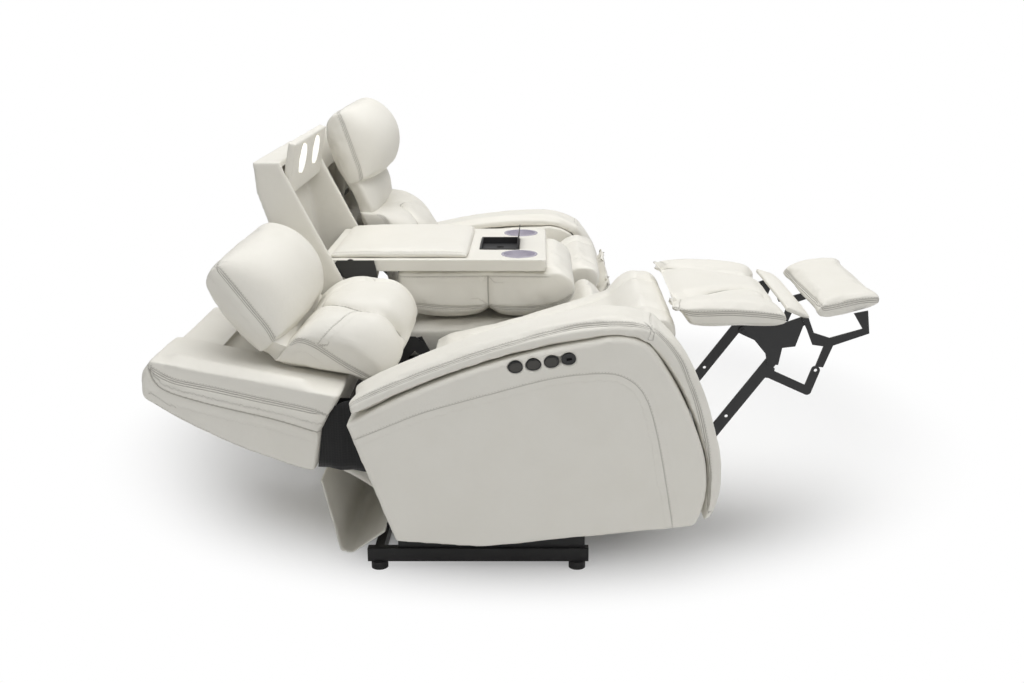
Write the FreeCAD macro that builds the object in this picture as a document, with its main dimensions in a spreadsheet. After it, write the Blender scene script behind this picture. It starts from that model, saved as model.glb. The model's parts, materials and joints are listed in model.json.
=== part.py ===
import FreeCAD, Part
import math
import os
import Sketcher
from FreeCAD import Placement, Rotation, Vector

# A three-seat power reclining sofa. Each side view is drawn as (forward, up) in the
# frame of a closed seat, in millimetres: forward is -Y, up is +Z, X runs across.
# The sitter's right seat rests fully reclined, the left one rests closed.

SIZES = {
    # plan
    "seat_width": 600, "middle_width": 560, "arm_width": 200, "side_gap": 3, "fit": 0.5, "pin_fit": 0.3,
    # closed seat
    "seat_rear": 480, "seat_floor": 390, "seat_rear_top": 452, "nose_forward": 185, "nose_height": 518,
    "nose_radius": 52, "side_draw": 16, "channel_depth": 12, "centre_width": 300,
    # arm
    "arm_rear": 611, "arm_rear_top": 510, "arm_top": 625, "arm_front": 259, "arm_floor": 76,
    "arm_floor_rise": 74, "arm_knee": 165, "arm_knee_height": 590, "pad_depth": 42, "pad_overhang": 6,
    "panel_inset": 10,
    # back
    "shell_top": 987, "shell_top_back": 744, "shell_front": 538, "shell_foot": 559, "shell_thick": 100,
    "wing_width": 95, "skirt_foot": 300, "skirt_thick": 14, "back_crown": 62,
    "back_foot": 462, "back_top": 752, "shell_recess": 42,
    "headrest_width": 582, "pocket_width": 260, "button_first": 186, "button_height": 546,
    # motion
    "slide_forward": 188, "slide_rise": 48, "tilt_angle": 9, "recline_angle": 44, "calf_angle": 81,
    "foot_angle": 100, "leg_angle": 50.9, "brace_angle": 97.7, "headrest_angle": 35,
    "tilt_back": 350, "tilt_height": 200, "hinge_back": 520, "hinge_height": 430,
    # footrest
    "calf_length": 340, "calf_thick": 62, "foot_gap": 46, "foot_length": 182, "foot_thick": 42,
    "foot_width": 480, "link_spread": 440, "link_thick": 5, "link_width": 30, "pin_radius": 7,
    # mechanism
    "rail_high": 36, "rail_wide": 24, "rail_clear": 20, "rail_rear": 450, "rail_front": 130,
    "glide_radius": 22, "tube_radius": 11, "actuator_radius": 20, "rod_radius": 11, "frame_high": 36,
    "frame_wide": 24,
    # console and table
    "box_top": 988, "box_wall": 16, "box_foot": 300, "table_top": 695, "table_thick": 35, "table_front": 23,
    "table_rear": 655, "table_width": 500, "cup_radius": 50, "cup_depth": 48, "cup_wall": 2.5, "fold_back": 460,
    "fold_height": 550, "lid_thick": 18, "hub_length": 120, "hub_width": 190, "hub_depth": 30, "tray_depth": 25,
    "light_thick": 26, "light_high": 163, "light_radius": 44, "light_spread": 218, "hub_lid_high": 40,
    "roller_radius": 12, "glide_inset": 30,
    "cushion_drop": 140, "cushion_front": 125, "button_long": 36, "button_high": 27, "button_pitch": 42,
    "button_travel": 1.6, "cloth": 7,
}


class Size:
    """A number that keeps the cell formula it came from, so that it can be bound."""

    def __init__(self, number, text):
        self.number = float(number)
        self.text = text

    def join(self, other, sign, number, flipped=False):
        mine = self.text
        theirs = other.text if isinstance(other, Size) else repr(float(other))
        pair = (theirs, mine) if flipped else (mine, theirs)
        return Size(number, "(%s %s %s)" % (pair[0], sign, pair[1]))

    def __float__(self):
        return self.number

    def __neg__(self):
        return Size(-self.number, "(0 - %s)" % self.text)

    def __add__(self, other):
        return self.join(other, "+", self.number + float(other))

    def __radd__(self, other):
        return self.join(other, "+", self.number + float(other), True)

    def __sub__(self, other):
        return self.join(other, "-", self.number - float(other))

    def __rsub__(self, other):
        return self.join(other, "-", float(other) - self.number, True)

    def __mul__(self, other):
        return self.join(other, "*", self.number * float(other))

    def __rmul__(self, other):
        return self.join(other, "*", self.number * float(other), True)

    def __truediv__(self, other):
        return self.join(other, "/", self.number / float(other))


doc = FreeCAD.newDocument("sofa")
sheet = doc.addObject("Spreadsheet::Sheet", "Sizes")
for row, (alias, value) in enumerate(SIZES.items(), start=1):
    sheet.set("A%d" % row, alias)
    sheet.set("B%d" % row, str(value))
    sheet.setAlias("B%d" % row, alias)
doc.recompute()


class Dimensions:
    """The sheet's cells by name, each as a Size."""

    def __getattr__(self, alias):
        return Size(sheet.get(alias), "Sizes." + alias)


D = Dimensions()
PARTS = {}
helpers = []


def turn(forward, up, degrees):
    """A turn in side view that lifts the front, about a point given as forward and up."""
    pivot = Vector(0, -float(forward), float(up))
    return Placement(pivot, Rotation(Vector(-1, 0, 0), degrees)) * Placement(-pivot, Rotation())


def shift(x=0, forward=0, up=0):
    return Placement(Vector(float(x), -float(forward), float(up)), Rotation())


def keep(name, obj, place):
    """Registers a finished sub-part under its own label, placed in the sofa."""
    obj.Label = name
    PARTS[name] = (obj, place)
    return obj


def bind(obj, **sizes):
    for prop, size in sizes.items():
        setattr(obj, prop, float(size))
        if isinstance(size, Size):
            obj.setExpression(prop, size.text)


def box(x0, x1, back, front, low, high):
    """A bound box: x0 to x1 across, from back to front (forward values), low to high."""
    obj = doc.addObject("Part::Box", "Block")
    bind(obj, Length=x1 - x0, Width=front - back, Height=high - low)
    obj.Placement = Placement(Vector(float(x0), -float(front), float(low)), Rotation())
    if isinstance(x0, Size):
        obj.setExpression("Placement.Base.x", x0.text)
    if isinstance(front, Size):
        obj.setExpression("Placement.Base.y", (-front).text)
    if isinstance(low, Size):
        obj.setExpression("Placement.Base.z", low.text)
    return obj


def rod(radius, start, end):
    """A bound round bar between two points given as (x, forward, up)."""
    a = Vector(float(start[0]), -float(start[1]), float(start[2]))
    b = Vector(float(end[0]), -float(end[1]), float(end[2]))
    obj = doc.addObject("Part::Cylinder", "Bar")
    bind(obj, Radius=radius)
    obj.Height = (b - a).Length
    obj.Placement = Placement(a, Rotation(Vector(0, 0, 1), b - a))
    return obj


def fuse(*pieces):
    obj = doc.addObject("Part::MultiFuse", "Weld")
    obj.Shapes = list(pieces)
    return obj


def group(*pieces):
    obj = doc.addObject("Part::Compound", "Set")
    obj.Links = list(pieces)
    return obj


def set_shape(shape):
    obj = doc.addObject("Part::Feature", "Form")
    obj.Shape = shape
    return obj


def plate(outline, thickness, x, holes=()):
    """A flat plate in the side view: a padded sketch of corners, with round holes."""
    body = doc.addObject("PartDesign::Body", "Plate")
    sketch = body.newObject("Sketcher::SketchObject", "Outline")
    side = next(p for p in body.Origin.OriginFeatures if p.Role == "YZ_Plane")
    sketch.AttachmentSupport = [(side, "")]
    sketch.MapMode = "FlatFace"
    points = [(-1 * forward, up) for forward, up in outline]
    count = len(points)
    for i in range(count):
        here, after = points[i], points[(i + 1) % count]
        sketch.addGeometry(Part.LineSegment(Vector(float(here[0]), float(here[1]), 0),
                                            Vector(float(after[0]), float(after[1]), 0)), False)
    for i in range(count):
        sketch.addConstraint(Sketcher.Constraint("Coincident", i, 2, (i + 1) % count, 1))
    for i, (across, up) in enumerate(points):
        place_point(sketch, i, 1, across, up)
    for forward, up, radius in holes:
        centre = Vector(-float(forward), float(up), 0)
        index = sketch.addGeometry(Part.Circle(centre, Vector(0, 0, 1), float(radius)), False)
        place_point(sketch, index, 3, -1 * forward, up)
        number = sketch.addConstraint(Sketcher.Constraint("Radius", index, float(radius)))
        if isinstance(radius, Size):
            sketch.setExpression("Constraints[%d]" % number, radius.text)
    pad = body.newObject("PartDesign::Pad", "Pad")
    pad.Profile = sketch
    bind(pad, Length=thickness)
    body.Placement = Placement(Vector(float(x), 0, 0), Rotation())
    return body


def place_point(sketch, geometry, point, across, up):
    for kind, size in (("DistanceX", across), ("DistanceY", up)):
        number = sketch.addConstraint(Sketcher.Constraint(kind, -1, 1, geometry, point, float(size)))
        if isinstance(size, Size):
            sketch.setExpression("Constraints[%d]" % number, size.text)


def plate_pair(outline, thickness, spread, holes=()):
    """Two equal plates, centred at half the spread each side."""
    near = plate(outline, thickness, -float(spread) / 2 - float(thickness) / 2, holes)
    far = plate(outline, thickness, float(spread) / 2 - float(thickness) / 2, holes)
    return near, far


def side_wire(x, outline, centre=(0, 0), grow=(1, 1), move=(0, 0)):
    """A closed side view at x. The outline is points, and ('arc', through, end) steps."""

    def at(point):
        forward = centre[0] + (point[0] - centre[0]) * grow[0] + move[0]
        up = centre[1] + (point[1] - centre[1]) * grow[1] + move[1]
        return Vector(x, -forward, up)

    here = at(outline[0])
    edges = []
    for step in list(outline[1:]) + [outline[0]]:
        if step[0] == "arc":
            after = at(step[2])
            edges.append(Part.Arc(here, at(step[1]), after).toShape())
        else:
            after = at(step)
            if (after - here).Length < 1e-6:
                continue
            edges.append(Part.LineSegment(here, after).toShape())
        here = after
    return Part.Wire(edges)


def numbers(outline):
    """The same outline in plain numbers."""
    plain = []
    for step in outline:
        if step[0] == "arc":
            plain.append(("arc", tuple(map(float, step[1])), tuple(map(float, step[2]))))
        else:
            plain.append(tuple(map(float, step)))
    return plain


def loft(wires, ruled=False):
    solid = Part.makeLoft(wires, True, ruled)
    if solid.Volume < 0:
        solid.reverse()
    return solid


def pillow(outline, half_width, fixed, draw, crown, panel=None, depth=0.0):
    """A crowned pad: side views lofted across, drawn in at both ends about a fixed point.

    panel is the half width of a raised centre panel, with a sewn channel at each side.
    """
    outline = numbers(outline)
    points = [step[2] if step[0] == "arc" else step for step in outline]
    length = max(p[0] for p in points) - min(p[0] for p in points)
    height = max(p[1] for p in points) - min(p[1] for p in points)
    middle = ((max(p[0] for p in points) + min(p[0] for p in points)) / 2, fixed)

    def station(x, inset, lift):
        grow = (1 - 2 * inset / length, (height + lift - inset) / height)
        return side_wire(x, outline, middle, grow)

    if panel is None:
        spans = [[(-half_width, draw, 0), (-half_width * 0.9, draw * 0.2, crown * 0.3), (0, 0, crown),
                  (half_width * 0.9, draw * 0.2, crown * 0.3), (half_width, draw, 0)]]
    else:
        edge = (half_width + panel) / 2
        strip = [(-half_width, draw, 0), (-half_width + draw, draw * 0.25, crown * 0.5),
                 (-edge, 0, crown * 0.8), (-panel, 0, -depth)]
        centre = [(-panel, 0, -depth), (-panel * 0.75, 0, crown * 0.8), (0, 0, crown),
                  (panel * 0.75, 0, crown * 0.8), (panel, 0, -depth)]
        mirror = [(-x, inset, lift) for x, inset, lift in reversed(strip)]
        spans = [strip, centre, mirror]
    solids = [loft([station(*stop) for stop in span], True) for span in spans]
    whole = solids[0]
    if len(solids) > 1:
        whole = solids[0].multiFuse(solids[1:]).removeSplitter()
    return whole


def swollen(side, middle, half_width, panel=None, depth=0.0):
    """A pad whose side view swells from the side outline to the middle one, drawn alike.

    panel is the half width of a centre panel, with a sewn channel at each side of it.
    """
    side, middle = numbers(side), numbers(middle)

    def mix(a, b, share):
        return (a[0] + (b[0] - a[0]) * share, a[1] + (b[1] - a[1]) * share)

    def station(x, share):
        steps = []
        for a, b in zip(side, middle):
            if a[0] == "arc":
                steps.append(("arc", mix(a[1], b[1], share), mix(a[2], b[2], share)))
            else:
                steps.append(mix(a, b, share))
        return side_wire(x, steps)

    if panel is None:
        stops = [(-1, 0.0), (-0.93, 0.36), (-0.7, 0.74), (-0.36, 0.95), (0, 1.0),
                 (0.36, 0.95), (0.7, 0.74), (0.93, 0.36), (1, 0.0)]
        return loft([station(x * half_width, share) for x, share in stops])
    span = half_width - panel
    dent = 1 - depth / 60
    strip = [(-half_width, 0.0), (-half_width + span * 0.14, 0.42), (-half_width + span * 0.5, 0.80),
             (-panel, dent - 0.12)]
    core = [(-panel, dent - 0.12), (-panel * 0.7, 0.97), (0, 1.0), (panel * 0.7, 0.97),
            (panel, dent - 0.12)]
    mirror = [(-x, share) for x, share in reversed(strip)]
    solids = [loft([station(*stop) for stop in span_stops]) for span_stops in (strip, core, mirror)]
    return solids[0].multiFuse(solids[1:]).removeSplitter()


def round_bar(radius, x0, x1, forward, up):
    return Part.makeCylinder(radius, x1 - x0, Vector(x0, -forward, up), Vector(1, 0, 0))


# Plan and pivots, all in the frame of a closed seat.
HALF = D.seat_width / 2
NOSE = (D.nose_forward, D.nose_height)
TILT = (-1 * D.tilt_back, D.tilt_height)
HINGE = (-1 * D.hinge_back, D.hinge_height)
SHELL_LEAN = (D.shell_top_back - D.shell_front) / (D.shell_top - D.shell_foot)

# The footrest is drawn level, from the nose of the seat: along, then up.
PAD_LIFT = 5
FOOT_PIVOT = (D.calf_length + 18, 9.5)
LEG_PIVOT = (283, -95.5)
BRACE_PIVOT = (277, -134.5)
LEG_SLOPE = math.radians(233.7)
LEG_LENGTH = 320
HEADREST_PIVOT = (-712, 754)
FLAP_LIP = (-608, 96)
FOLD = (-1 * D.fold_back, D.fold_height)


def shell_line(up):
    """How far forward the front of the back shell lies at a height."""
    return -1 * D.shell_front - SHELL_LEAN * (up - D.shell_foot)


class Seat:
    """One power seat: side is -1 for the sitter's right, opened from 0 closed to 1 reclined."""

    def __init__(self, name, side, opened, tipped):
        self.name = name
        self.side = side
        centre = side * (float(D.middle_width) / 2 + float(HALF))
        self.root = shift(centre)
        self.slide = self.root * shift(0, float(D.slide_forward) * opened, float(D.slide_rise) * opened)
        self.carriage = self.slide * turn(*TILT, float(D.tilt_angle) * opened)
        self.back = self.carriage * turn(*HINGE, float(D.recline_angle) * opened)
        closed = 1 - opened
        level = -float(D.tilt_angle) - float(D.calf_angle) * closed
        self.calf = self.carriage * shift(0, *NOSE) * turn(0, 0, level)
        self.foot = self.calf * turn(*FOOT_PIVOT, -float(D.foot_angle) * closed)
        self.leg = self.calf * turn(*LEG_PIVOT, float(D.leg_angle) * closed)
        self.brace = self.leg * turn(*BRACE_PIVOT, float(D.brace_angle) * closed)
        self.headrest = self.back * turn(*HEADREST_PIVOT, -float(D.headrest_angle) * tipped)

    def label(self, piece):
        return "%s_%s" % (self.name, piece)

    def arm_range(self):
        """The x range of the arm, beside the seat on its outer side."""
        inner = float(HALF) * self.side
        outer = (float(HALF) + float(D.arm_width)) * self.side
        return min(inner, outer), max(inner, outer)

    def build(self):
        for make in (self.base, self.slides, self.actuator, self.seat, self.arm, self.buttons,
                     self.flap, self.backrest, self.head, self.calf_rest, self.links, self.foot_rest):
            make()

    def base(self):
        outer = HALF - 8
        inner = outer - D.rail_wide
        low, high = D.rail_clear, D.rail_clear + D.rail_high
        ramp_rise = D.slide_rise / D.slide_forward
        ramp_back, ramp_front = -1 * D.tilt_back - 20, D.rail_front - 10
        foot = high + 28
        pieces = []
        for sign in (-1, 1):
            x0, x1 = (inner, outer) if sign > 0 else (-1 * outer, -1 * inner)
            pieces.append(box(x0, x1, -1 * D.rail_rear, D.rail_front, low, high))
            web = [(ramp_back, high - 2), (ramp_front, high - 2),
                   (ramp_front, foot + ramp_rise * (ramp_front - ramp_back)), (ramp_back, foot)]
            middle = float(x0 + x1) / 2
            pieces.append(plate(web, D.link_thick, middle - float(D.link_thick) / 2))
        for forward in (30 - D.rail_rear, D.rail_front - 30):
            pieces.append(box(-1 * outer, outer, forward - 12, forward + 12, low, high))
        keep(self.label("base_frame"), fuse(*pieces), self.root)
        for forward in (D.glide_inset - D.rail_rear, D.rail_front - D.glide_inset):
            for x in (-1, 1):
                helpers.append((self.root, x * float(outer - D.rail_wide / 2), float(forward)))

    def slides(self):
        spread = 2 * (HALF - 8) - 2 * D.rail_wide - 14
        rise = D.slide_rise / D.slide_forward
        rear, front = -1 * D.tilt_back - 30, 0
        foot = D.rail_clear + D.rail_high + 30
        low_bar = (front - 60, foot + 64)
        outline = [(rear, foot), (front - 100, foot + rise * (front - 100 - rear)),
                   (front, foot + rise * (front - rear)),
                   (front, foot + 34 + rise * (front - rear)), (TILT[0] + 34, foot + 34 + rise * 64),
                   (TILT[0] + 20, TILT[1] + 20), (TILT[0] - 20, TILT[1] + 20), (rear, foot + 34)]
        hole = [(TILT[0], TILT[1], D.pin_radius + D.pin_fit)]
        near, far = plate_pair(outline, D.link_thick, spread, hole)
        half = spread / 2
        rear_bar = rod(D.tube_radius, (-1 * half, rear + 24, foot + 74), (half, rear + 24, foot + 74))
        inner = D.link_spread / 2 - 25
        front_bar = rod(D.tube_radius, (-1 * inner, *low_bar), (inner, *low_bar))
        arms = []
        for x in (-1 * inner, inner):
            arms.append(rod(D.tube_radius * 0.7, (x, *low_bar), (x, rear + 24, foot + 74)))
        self.drive_point = numbers([low_bar])[0]
        slope = math.atan2(float(D.slide_rise), float(D.slide_forward))
        ramp_foot = float(D.rail_clear + D.rail_high) + 28
        rollers = []
        for forward in (-float(D.tilt_back), -100.0):
            ramp_top = ramp_foot + math.tan(slope) * (forward + float(D.tilt_back) + 20)
            up = ramp_top + (float(D.roller_radius) + 0.05) / math.cos(slope)
            for sign in (-1, 1):
                start = sign * (float(half) - 2)
                end = sign * (float(half) + float(D.rail_wide))
                rollers.append(rod(D.roller_radius, (start, forward, up), (end, forward, up)))
        keep(self.label("slide_frame"), fuse(near, far, rear_bar, front_bar, *arms, *rollers), self.slide)

    def actuator(self):
        forward, up = self.drive_point
        slope = math.atan2(float(D.slide_rise), float(D.slide_forward))
        along = Vector(0, -math.cos(slope), math.sin(slope))
        nose = Vector(0, -forward, up) - along * (float(D.tube_radius) + 0.5)
        stroke = math.hypot(float(D.slide_forward), float(D.slide_rise))
        reach = stroke + 70
        start = nose - along * reach
        tube = Part.makeCylinder(float(D.actuator_radius), reach - 14, start, along)
        bore = Part.makeCylinder(float(D.rod_radius) + 1, reach, start + along * 16, along)
        motor = Part.makeBox(90, 80, 44, start + Vector(-45, -14, -22))
        motor = motor.cut(Part.makeCylinder(float(D.rod_radius) + 1, reach, start + along * 16, along))
        floor = float(D.rail_clear + D.rail_high)
        rear_bar = 30 - float(D.rail_rear)
        foot_y = start.y + 20
        foot = Part.makeBox(40, -rear_bar + 12 - foot_y, start.z - 22 - floor + 10,
                            Vector(-20, foot_y, floor))
        keep(self.label("actuator_body"), set_shape(tube.cut(bore).fuse([motor, foot])), self.root)
        shaft = Part.makeCylinder(float(D.rod_radius), reach - 30, start + along * 30, along)
        keep(self.label("actuator_rod"), set_shape(shaft), self.slide)

    def seat(self):
        outer = HALF if self.side > 0 else HALF - D.side_gap
        inner = HALF if self.side < 0 else HALF - D.side_gap
        high = D.seat_floor - 0.4
        low = high - D.frame_high
        rear, front = -1 * D.seat_rear, D.nose_forward - 14
        ear_x = HALF - 8 - D.rail_wide - 14 - D.link_thick
        pieces = [box(-1 * inner, D.frame_wide - inner, rear, front, low, high),
                  box(outer - D.frame_wide, outer, rear, front, low, high),
                  box(-1 * inner, outer, rear, rear + 24, low, high),
                  box(-1 * inner, outer, front - 24, front, low, high),
                  box(-1 * inner, outer, rear, front - 131, high - 6, high)]
        drop = [(TILT[0] - 24, TILT[1] - 18), (TILT[0] + 24, TILT[1] - 18), (TILT[0] + 70, high - 4),
                (TILT[0] - 70, high - 4)]
        pieces += plate_pair(drop, D.link_thick, 2 * ear_x)
        for sign in (-1, 1):
            start = sign * float(ear_x - D.link_thick / 2)
            end = sign * float(ear_x + D.link_thick / 2 + D.link_thick + 6)
            pieces.append(rod(D.pin_radius, (start, *TILT), (end, *TILT)))
        ear = [(rear + 40, low + 2), (rear - 2, high - 2), (HINGE[0] + 18, HINGE[1] + 18),
               (HINGE[0] - 18, HINGE[1] + 14), (HINGE[0] - 18, HINGE[1] - 16), (rear - 4, low + 2)]
        hinge_spread = 2 * (HALF - D.side_gap - D.link_thick / 2)
        hole = [(HINGE[0], HINGE[1], D.pin_radius + D.pin_fit)]
        pieces += plate_pair(ear, D.link_thick, hinge_spread, hole)
        lip = FLAP_LIP[0] + 0.3
        hanger = [(rear + 10, low + 9), (rear + 25, low + 9), (lip + 18, FLAP_LIP[1] + 0.8),
                  (lip, FLAP_LIP[1] + 0.8), (lip, FLAP_LIP[1] + 7), (lip + 6, FLAP_LIP[1] + 8)]
        pieces += plate_pair(hanger, D.link_thick, 2 * ear_x + 2 * D.link_thick)
        keep(self.label("seat_frame"), fuse(*pieces), self.carriage)

        nose, crest = float(D.nose_radius), float(D.nose_height + D.nose_radius)
        forward, up = float(D.nose_forward), float(D.nose_height)
        bottom = float(D.seat_floor)
        rear_top = float(D.seat_rear_top)
        back = -float(D.seat_rear) + 6
        dip = rear_top + (crest - rear_top) * 0.55
        outline = [(back, bottom), (back, rear_top), ("arc", (-200, rear_top + 26), (60, dip)),
                   ("arc", (120, dip + (crest - dip) * 0.72), (forward, crest)),
                   ("arc", (forward + nose * 0.7071, up + nose * 0.7071), (forward + nose, up)),
                   ("arc", (forward + nose * 0.7071, up - nose * 0.7071), (forward, up - nose)),
                   (forward - 6, bottom)]
        width = float(HALF - D.side_gap)
        cushion = pillow(outline, width, up, float(D.side_draw), 0.0, float(D.centre_width) / 2,
                         float(D.channel_depth))
        keep(self.label("seat_cushion"), set_shape(cushion), self.carriage)

    def arm_outline(self, inset=0.0, top_inset=0.0):
        """The arm's side view, inset from its front and its top."""
        rear, front = -float(D.arm_rear), float(D.arm_front) - inset
        top, rear_top = float(D.arm_top) - top_inset, float(D.arm_rear_top) - top_inset
        knee, knee_up = float(D.arm_knee) - inset * 0.8, float(D.arm_knee_height) - top_inset
        foot, rise = float(D.arm_floor), float(D.arm_floor_rise)
        slack = (top - rear_top)
        return [(rear + 62, foot + rise), (rear, rear_top),
                ("arc", (rear + 340, top - slack * 0.20), (10, top)),
                ("arc", (96, top - 10), (knee, knee_up)),
                ("arc", (front - 25, knee_up - 150), (front, foot + 209)),
                ("arc", (front - 2, foot + 90), (front - 42, foot)),
                (-343, foot + rise * 0.36)]

    def arm(self):
        x0, x1 = self.arm_range()
        depth = float(D.pad_depth)
        core = self.arm_outline(depth * 0.9, depth)
        side = self.side
        face = float(D.panel_inset)
        outer = x1 if side > 0 else x0
        inside = x0 if side > 0 else x1
        stops = sorted([(inside, 0.0), (outer - side * face, 0.0), (outer, face * 0.9)])
        body = loft_stops(core, stops)
        keep(self.label("arm_body"), set_shape(body), self.carriage)

        shell = self.arm_outline()
        lip = float(D.pad_overhang)
        rounded = [(x0, 14.0), (x0 + 14, 4.0), (x0 + 50, 0.0), (x1 - 50, 0.0), (x1 - 14, 4.0), (x1, 14.0)]
        whole = loft_stops(shell, rounded, False)
        clear = float(D.fit)
        hollow = self.arm_outline(depth * 0.9 - clear, depth - clear)
        rear, front = hollow[0], hollow[4][2]
        below = [rear, hollow[1], (hollow[1][0] - lip * 8, hollow[1][1]), (hollow[1][0] - lip * 8, 0),
                 (front[0] - depth, 0), (front[0] - depth * 0.9, float(D.arm_floor)), hollow[-1]]
        pad = whole.cut(flat(hollow, (x0 + x1) / 2, x1 - x0 + lip)).cut(
            flat(below, (x0 + x1) / 2, x1 - x0 + lip))
        solids = sorted(pad.Solids, key=lambda solid: solid.Volume)
        keep(self.label("arm_pad"), set_shape(solids[-1]), self.carriage)

    def buttons(self):
        """Three spring buttons and a charging socket, in a row on the arm's outer face."""
        x0, x1 = self.arm_range()
        face = (x1 if self.side > 0 else x0) - self.side * float(D.panel_inset)
        depth = 22.0
        radius = float(D.button_high) / 2
        straight = float(D.button_long) - 2 * radius
        first, row_up = -float(D.button_first), float(D.button_height)
        arm, place = PARTS[self.label("arm_body")]
        pocket, sockets = arm.Shape, []
        names = ("button_recline", "button_headrest", "button_lumbar", "charging_socket")
        for number, piece in enumerate(names):
            forward = first + number * float(D.button_pitch)
            moves = piece != "charging_socket"
            bezel = stadium(face, self.side, forward, row_up, straight, radius, depth, 1.5)
            pocket = pocket.cut(stadium(face, self.side, forward, row_up, straight, radius + float(D.fit),
                                        depth + float(D.fit), 20.0))
            if moves:
                room = float(D.button_travel) + 1.0
                inner = stadium(face, self.side, forward, row_up, straight, radius - 2.4, depth - 3, 20.0)
                bezel = bezel.cut(inner)
                cap = stadium(face, self.side, forward, row_up, straight, radius - 3.0,
                              depth - 3 - room, 3.0)
                keep(self.label(piece), set_shape(cap), self.carriage)
            else:
                slot = Part.makeBox(16, 13, 6.5, Vector(face - 8, -forward - 6.5, row_up - 3.25))
                bezel = bezel.cut(slot)
            sockets.append(bezel)
        arm.Shape = pocket
        keep(self.label("button_sockets"), set_shape(Part.makeCompound(sockets)), self.carriage)

    def flap(self):
        cloth = float(D.cloth)
        outline = [(-747, 268), (-735, 61), (-706, 48), FLAP_LIP, (FLAP_LIP[0], FLAP_LIP[1] + cloth * 1.1),
                   (-704, 48 + cloth * 1.1), (-735 + cloth, 61 + cloth * 0.6), (-747 + cloth, 268)]
        width = HALF - D.side_gap
        keep(self.label("rear_flap"), plate(outline, 2 * width, -float(width)), self.carriage)

    def backrest(self):
        """The outer shell of the back: a recessed middle, and a raised wing over the arm."""
        width = float(HALF - D.side_gap)
        top, foot = float(D.shell_top), float(D.shell_foot)
        top_back, thick = -float(D.shell_top_back), float(D.shell_thick)
        recess, skirt = float(D.shell_recess), float(D.skirt_foot)
        rear = [("arc", (top_back - thick * 0.55, top - 8), (top_back - thick, top - 41)),
                ("arc", (-812, 700), (-749, 493))]
        middle = [(-float(D.shell_front) - recess, foot), (top_back - recess, top - 6)]
        middle += [("arc", (top_back - thick * 0.75, top - 16), (top_back - thick, top - 41)), rear[1],
                   (-735, skirt), (-735 + float(D.skirt_thick), skirt), (-720, 470), (-640, 548)]
        shell = flat(middle, 0.0, 2 * width)
        pocket = float(D.pocket_width) / 2
        shell = shell.cut(flat([(-600, 690), (-600, 870), (-752, 870), (-752, 690)], 0.0, 2 * pocket))
        wing = [(-float(D.shell_front), foot), (top_back, top)] + rear + [(-640, 548)]
        side = self.side
        outside = side * (width + float(D.wing_width))
        stops = sorted([(side * (pocket + 24), 10.0), (side * (pocket + 40), 3.0), (side * width, 0.0),
                        (outside - side * 12, 0.0), (outside, 6.0)])
        shell = shell.fuse(loft_stops(wing, stops))
        keep(self.label("back_shell"), set_shape(shell), self.back)

    def head(self):
        """The back's steel frame, its cushion and the headrest that tips forward."""
        foot, top = float(D.back_foot), float(D.back_top)
        rear_low = (shell_line(D.shell_foot + 6) + 1.0, D.shell_foot + 6)
        rear_top = (shell_line(top) + 1.0, top)
        side = [rear_low, (-512, foot + 6), (-488, foot + 2), ("arc", (-484, foot + 70), (-500, foot + 160)),
                ("arc", (-516, top - 56), (-556, top - 8)), rear_top]
        crown = 62 + float(D.back_crown)
        centre = [rear_low, (-512, foot), (-500 + crown * 0.8, foot + 2),
                  ("arc", (-500 + crown + 24, foot + 90), (-500 + crown * 0.9, foot + 180)),
                  ("arc", (-500 + crown * 0.55, top - 54), (-500 + crown * 0.05, top - 22)), rear_top]
        width = float(HALF - D.side_gap)
        cushion = swollen(side, centre, width, float(D.centre_width) / 2, 7.0)
        cushion = cushion.cut(PARTS[self.label("back_shell")][0].Shape)
        keep(self.label("back_cushion"), set_shape(cushion), self.back)

        side = [(-648, 824), ("arc", (-700, 930), (-720, 1032)), ("arc", (-706, 1062), (-680, 1078)),
                ("arc", (-632, 966), (-590, 850)), ("arc", (-618, 834), (-648, 824))]
        centre = [(-648, 812), ("arc", (-704, 930), (-728, 1044)), ("arc", (-684, 1096), (-612, 1102)),
                  ("arc", (-503, 1000), (-528, 872)), ("arc", (-590, 828), (-648, 812))]
        head = swollen(side, centre, float(D.headrest_width) / 2)
        lugs = [flat([(HEADREST_PIVOT[0] - 13, HEADREST_PIVOT[1] - 13), (HEADREST_PIVOT[0] + 13,
                     HEADREST_PIVOT[1] - 13), (-668, 866), (-640, 880), (-640, 900), (-700, 880)], x, 18.0)
                for x in (-80, 80)]
        bore = round_bar(float(D.pin_radius + D.pin_fit), -120, 120, *HEADREST_PIVOT)
        head = head.fuse([lug.cut(bore) for lug in lugs])
        keep(self.label("headrest"), set_shape(head), self.headrest)

        spread = 2 * (HALF - D.side_gap - D.link_thick / 2) - 2 * D.link_thick - 6
        arm = [(HINGE[0] + 15, HINGE[1] - 12), (HINGE[0] + 15, HINGE[1] + 16), (-585, 553.2),
               (-640.3, 547.3), (-718, 471), (-712, 440)]
        near, far = plate_pair(arm, D.link_thick, spread)
        pieces = [near, far]
        for sign in (-1, 1):
            start = sign * float(spread / 2 - D.link_thick / 2)
            end = sign * float(HALF - D.side_gap)
            pieces.append(rod(D.pin_radius, (start, *HINGE), (end, *HINGE)))
        half = spread / 2
        pieces.append(rod(D.tube_radius, (-1 * half, -650, 508), (half, -650, 508)))
        pocket = D.pocket_width / 2
        pieces.append(rod(D.pin_radius, (-1 * pocket, *HEADREST_PIVOT), (pocket, *HEADREST_PIVOT)))
        keep(self.label("back_frame"), fuse(*pieces), self.back)

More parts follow.
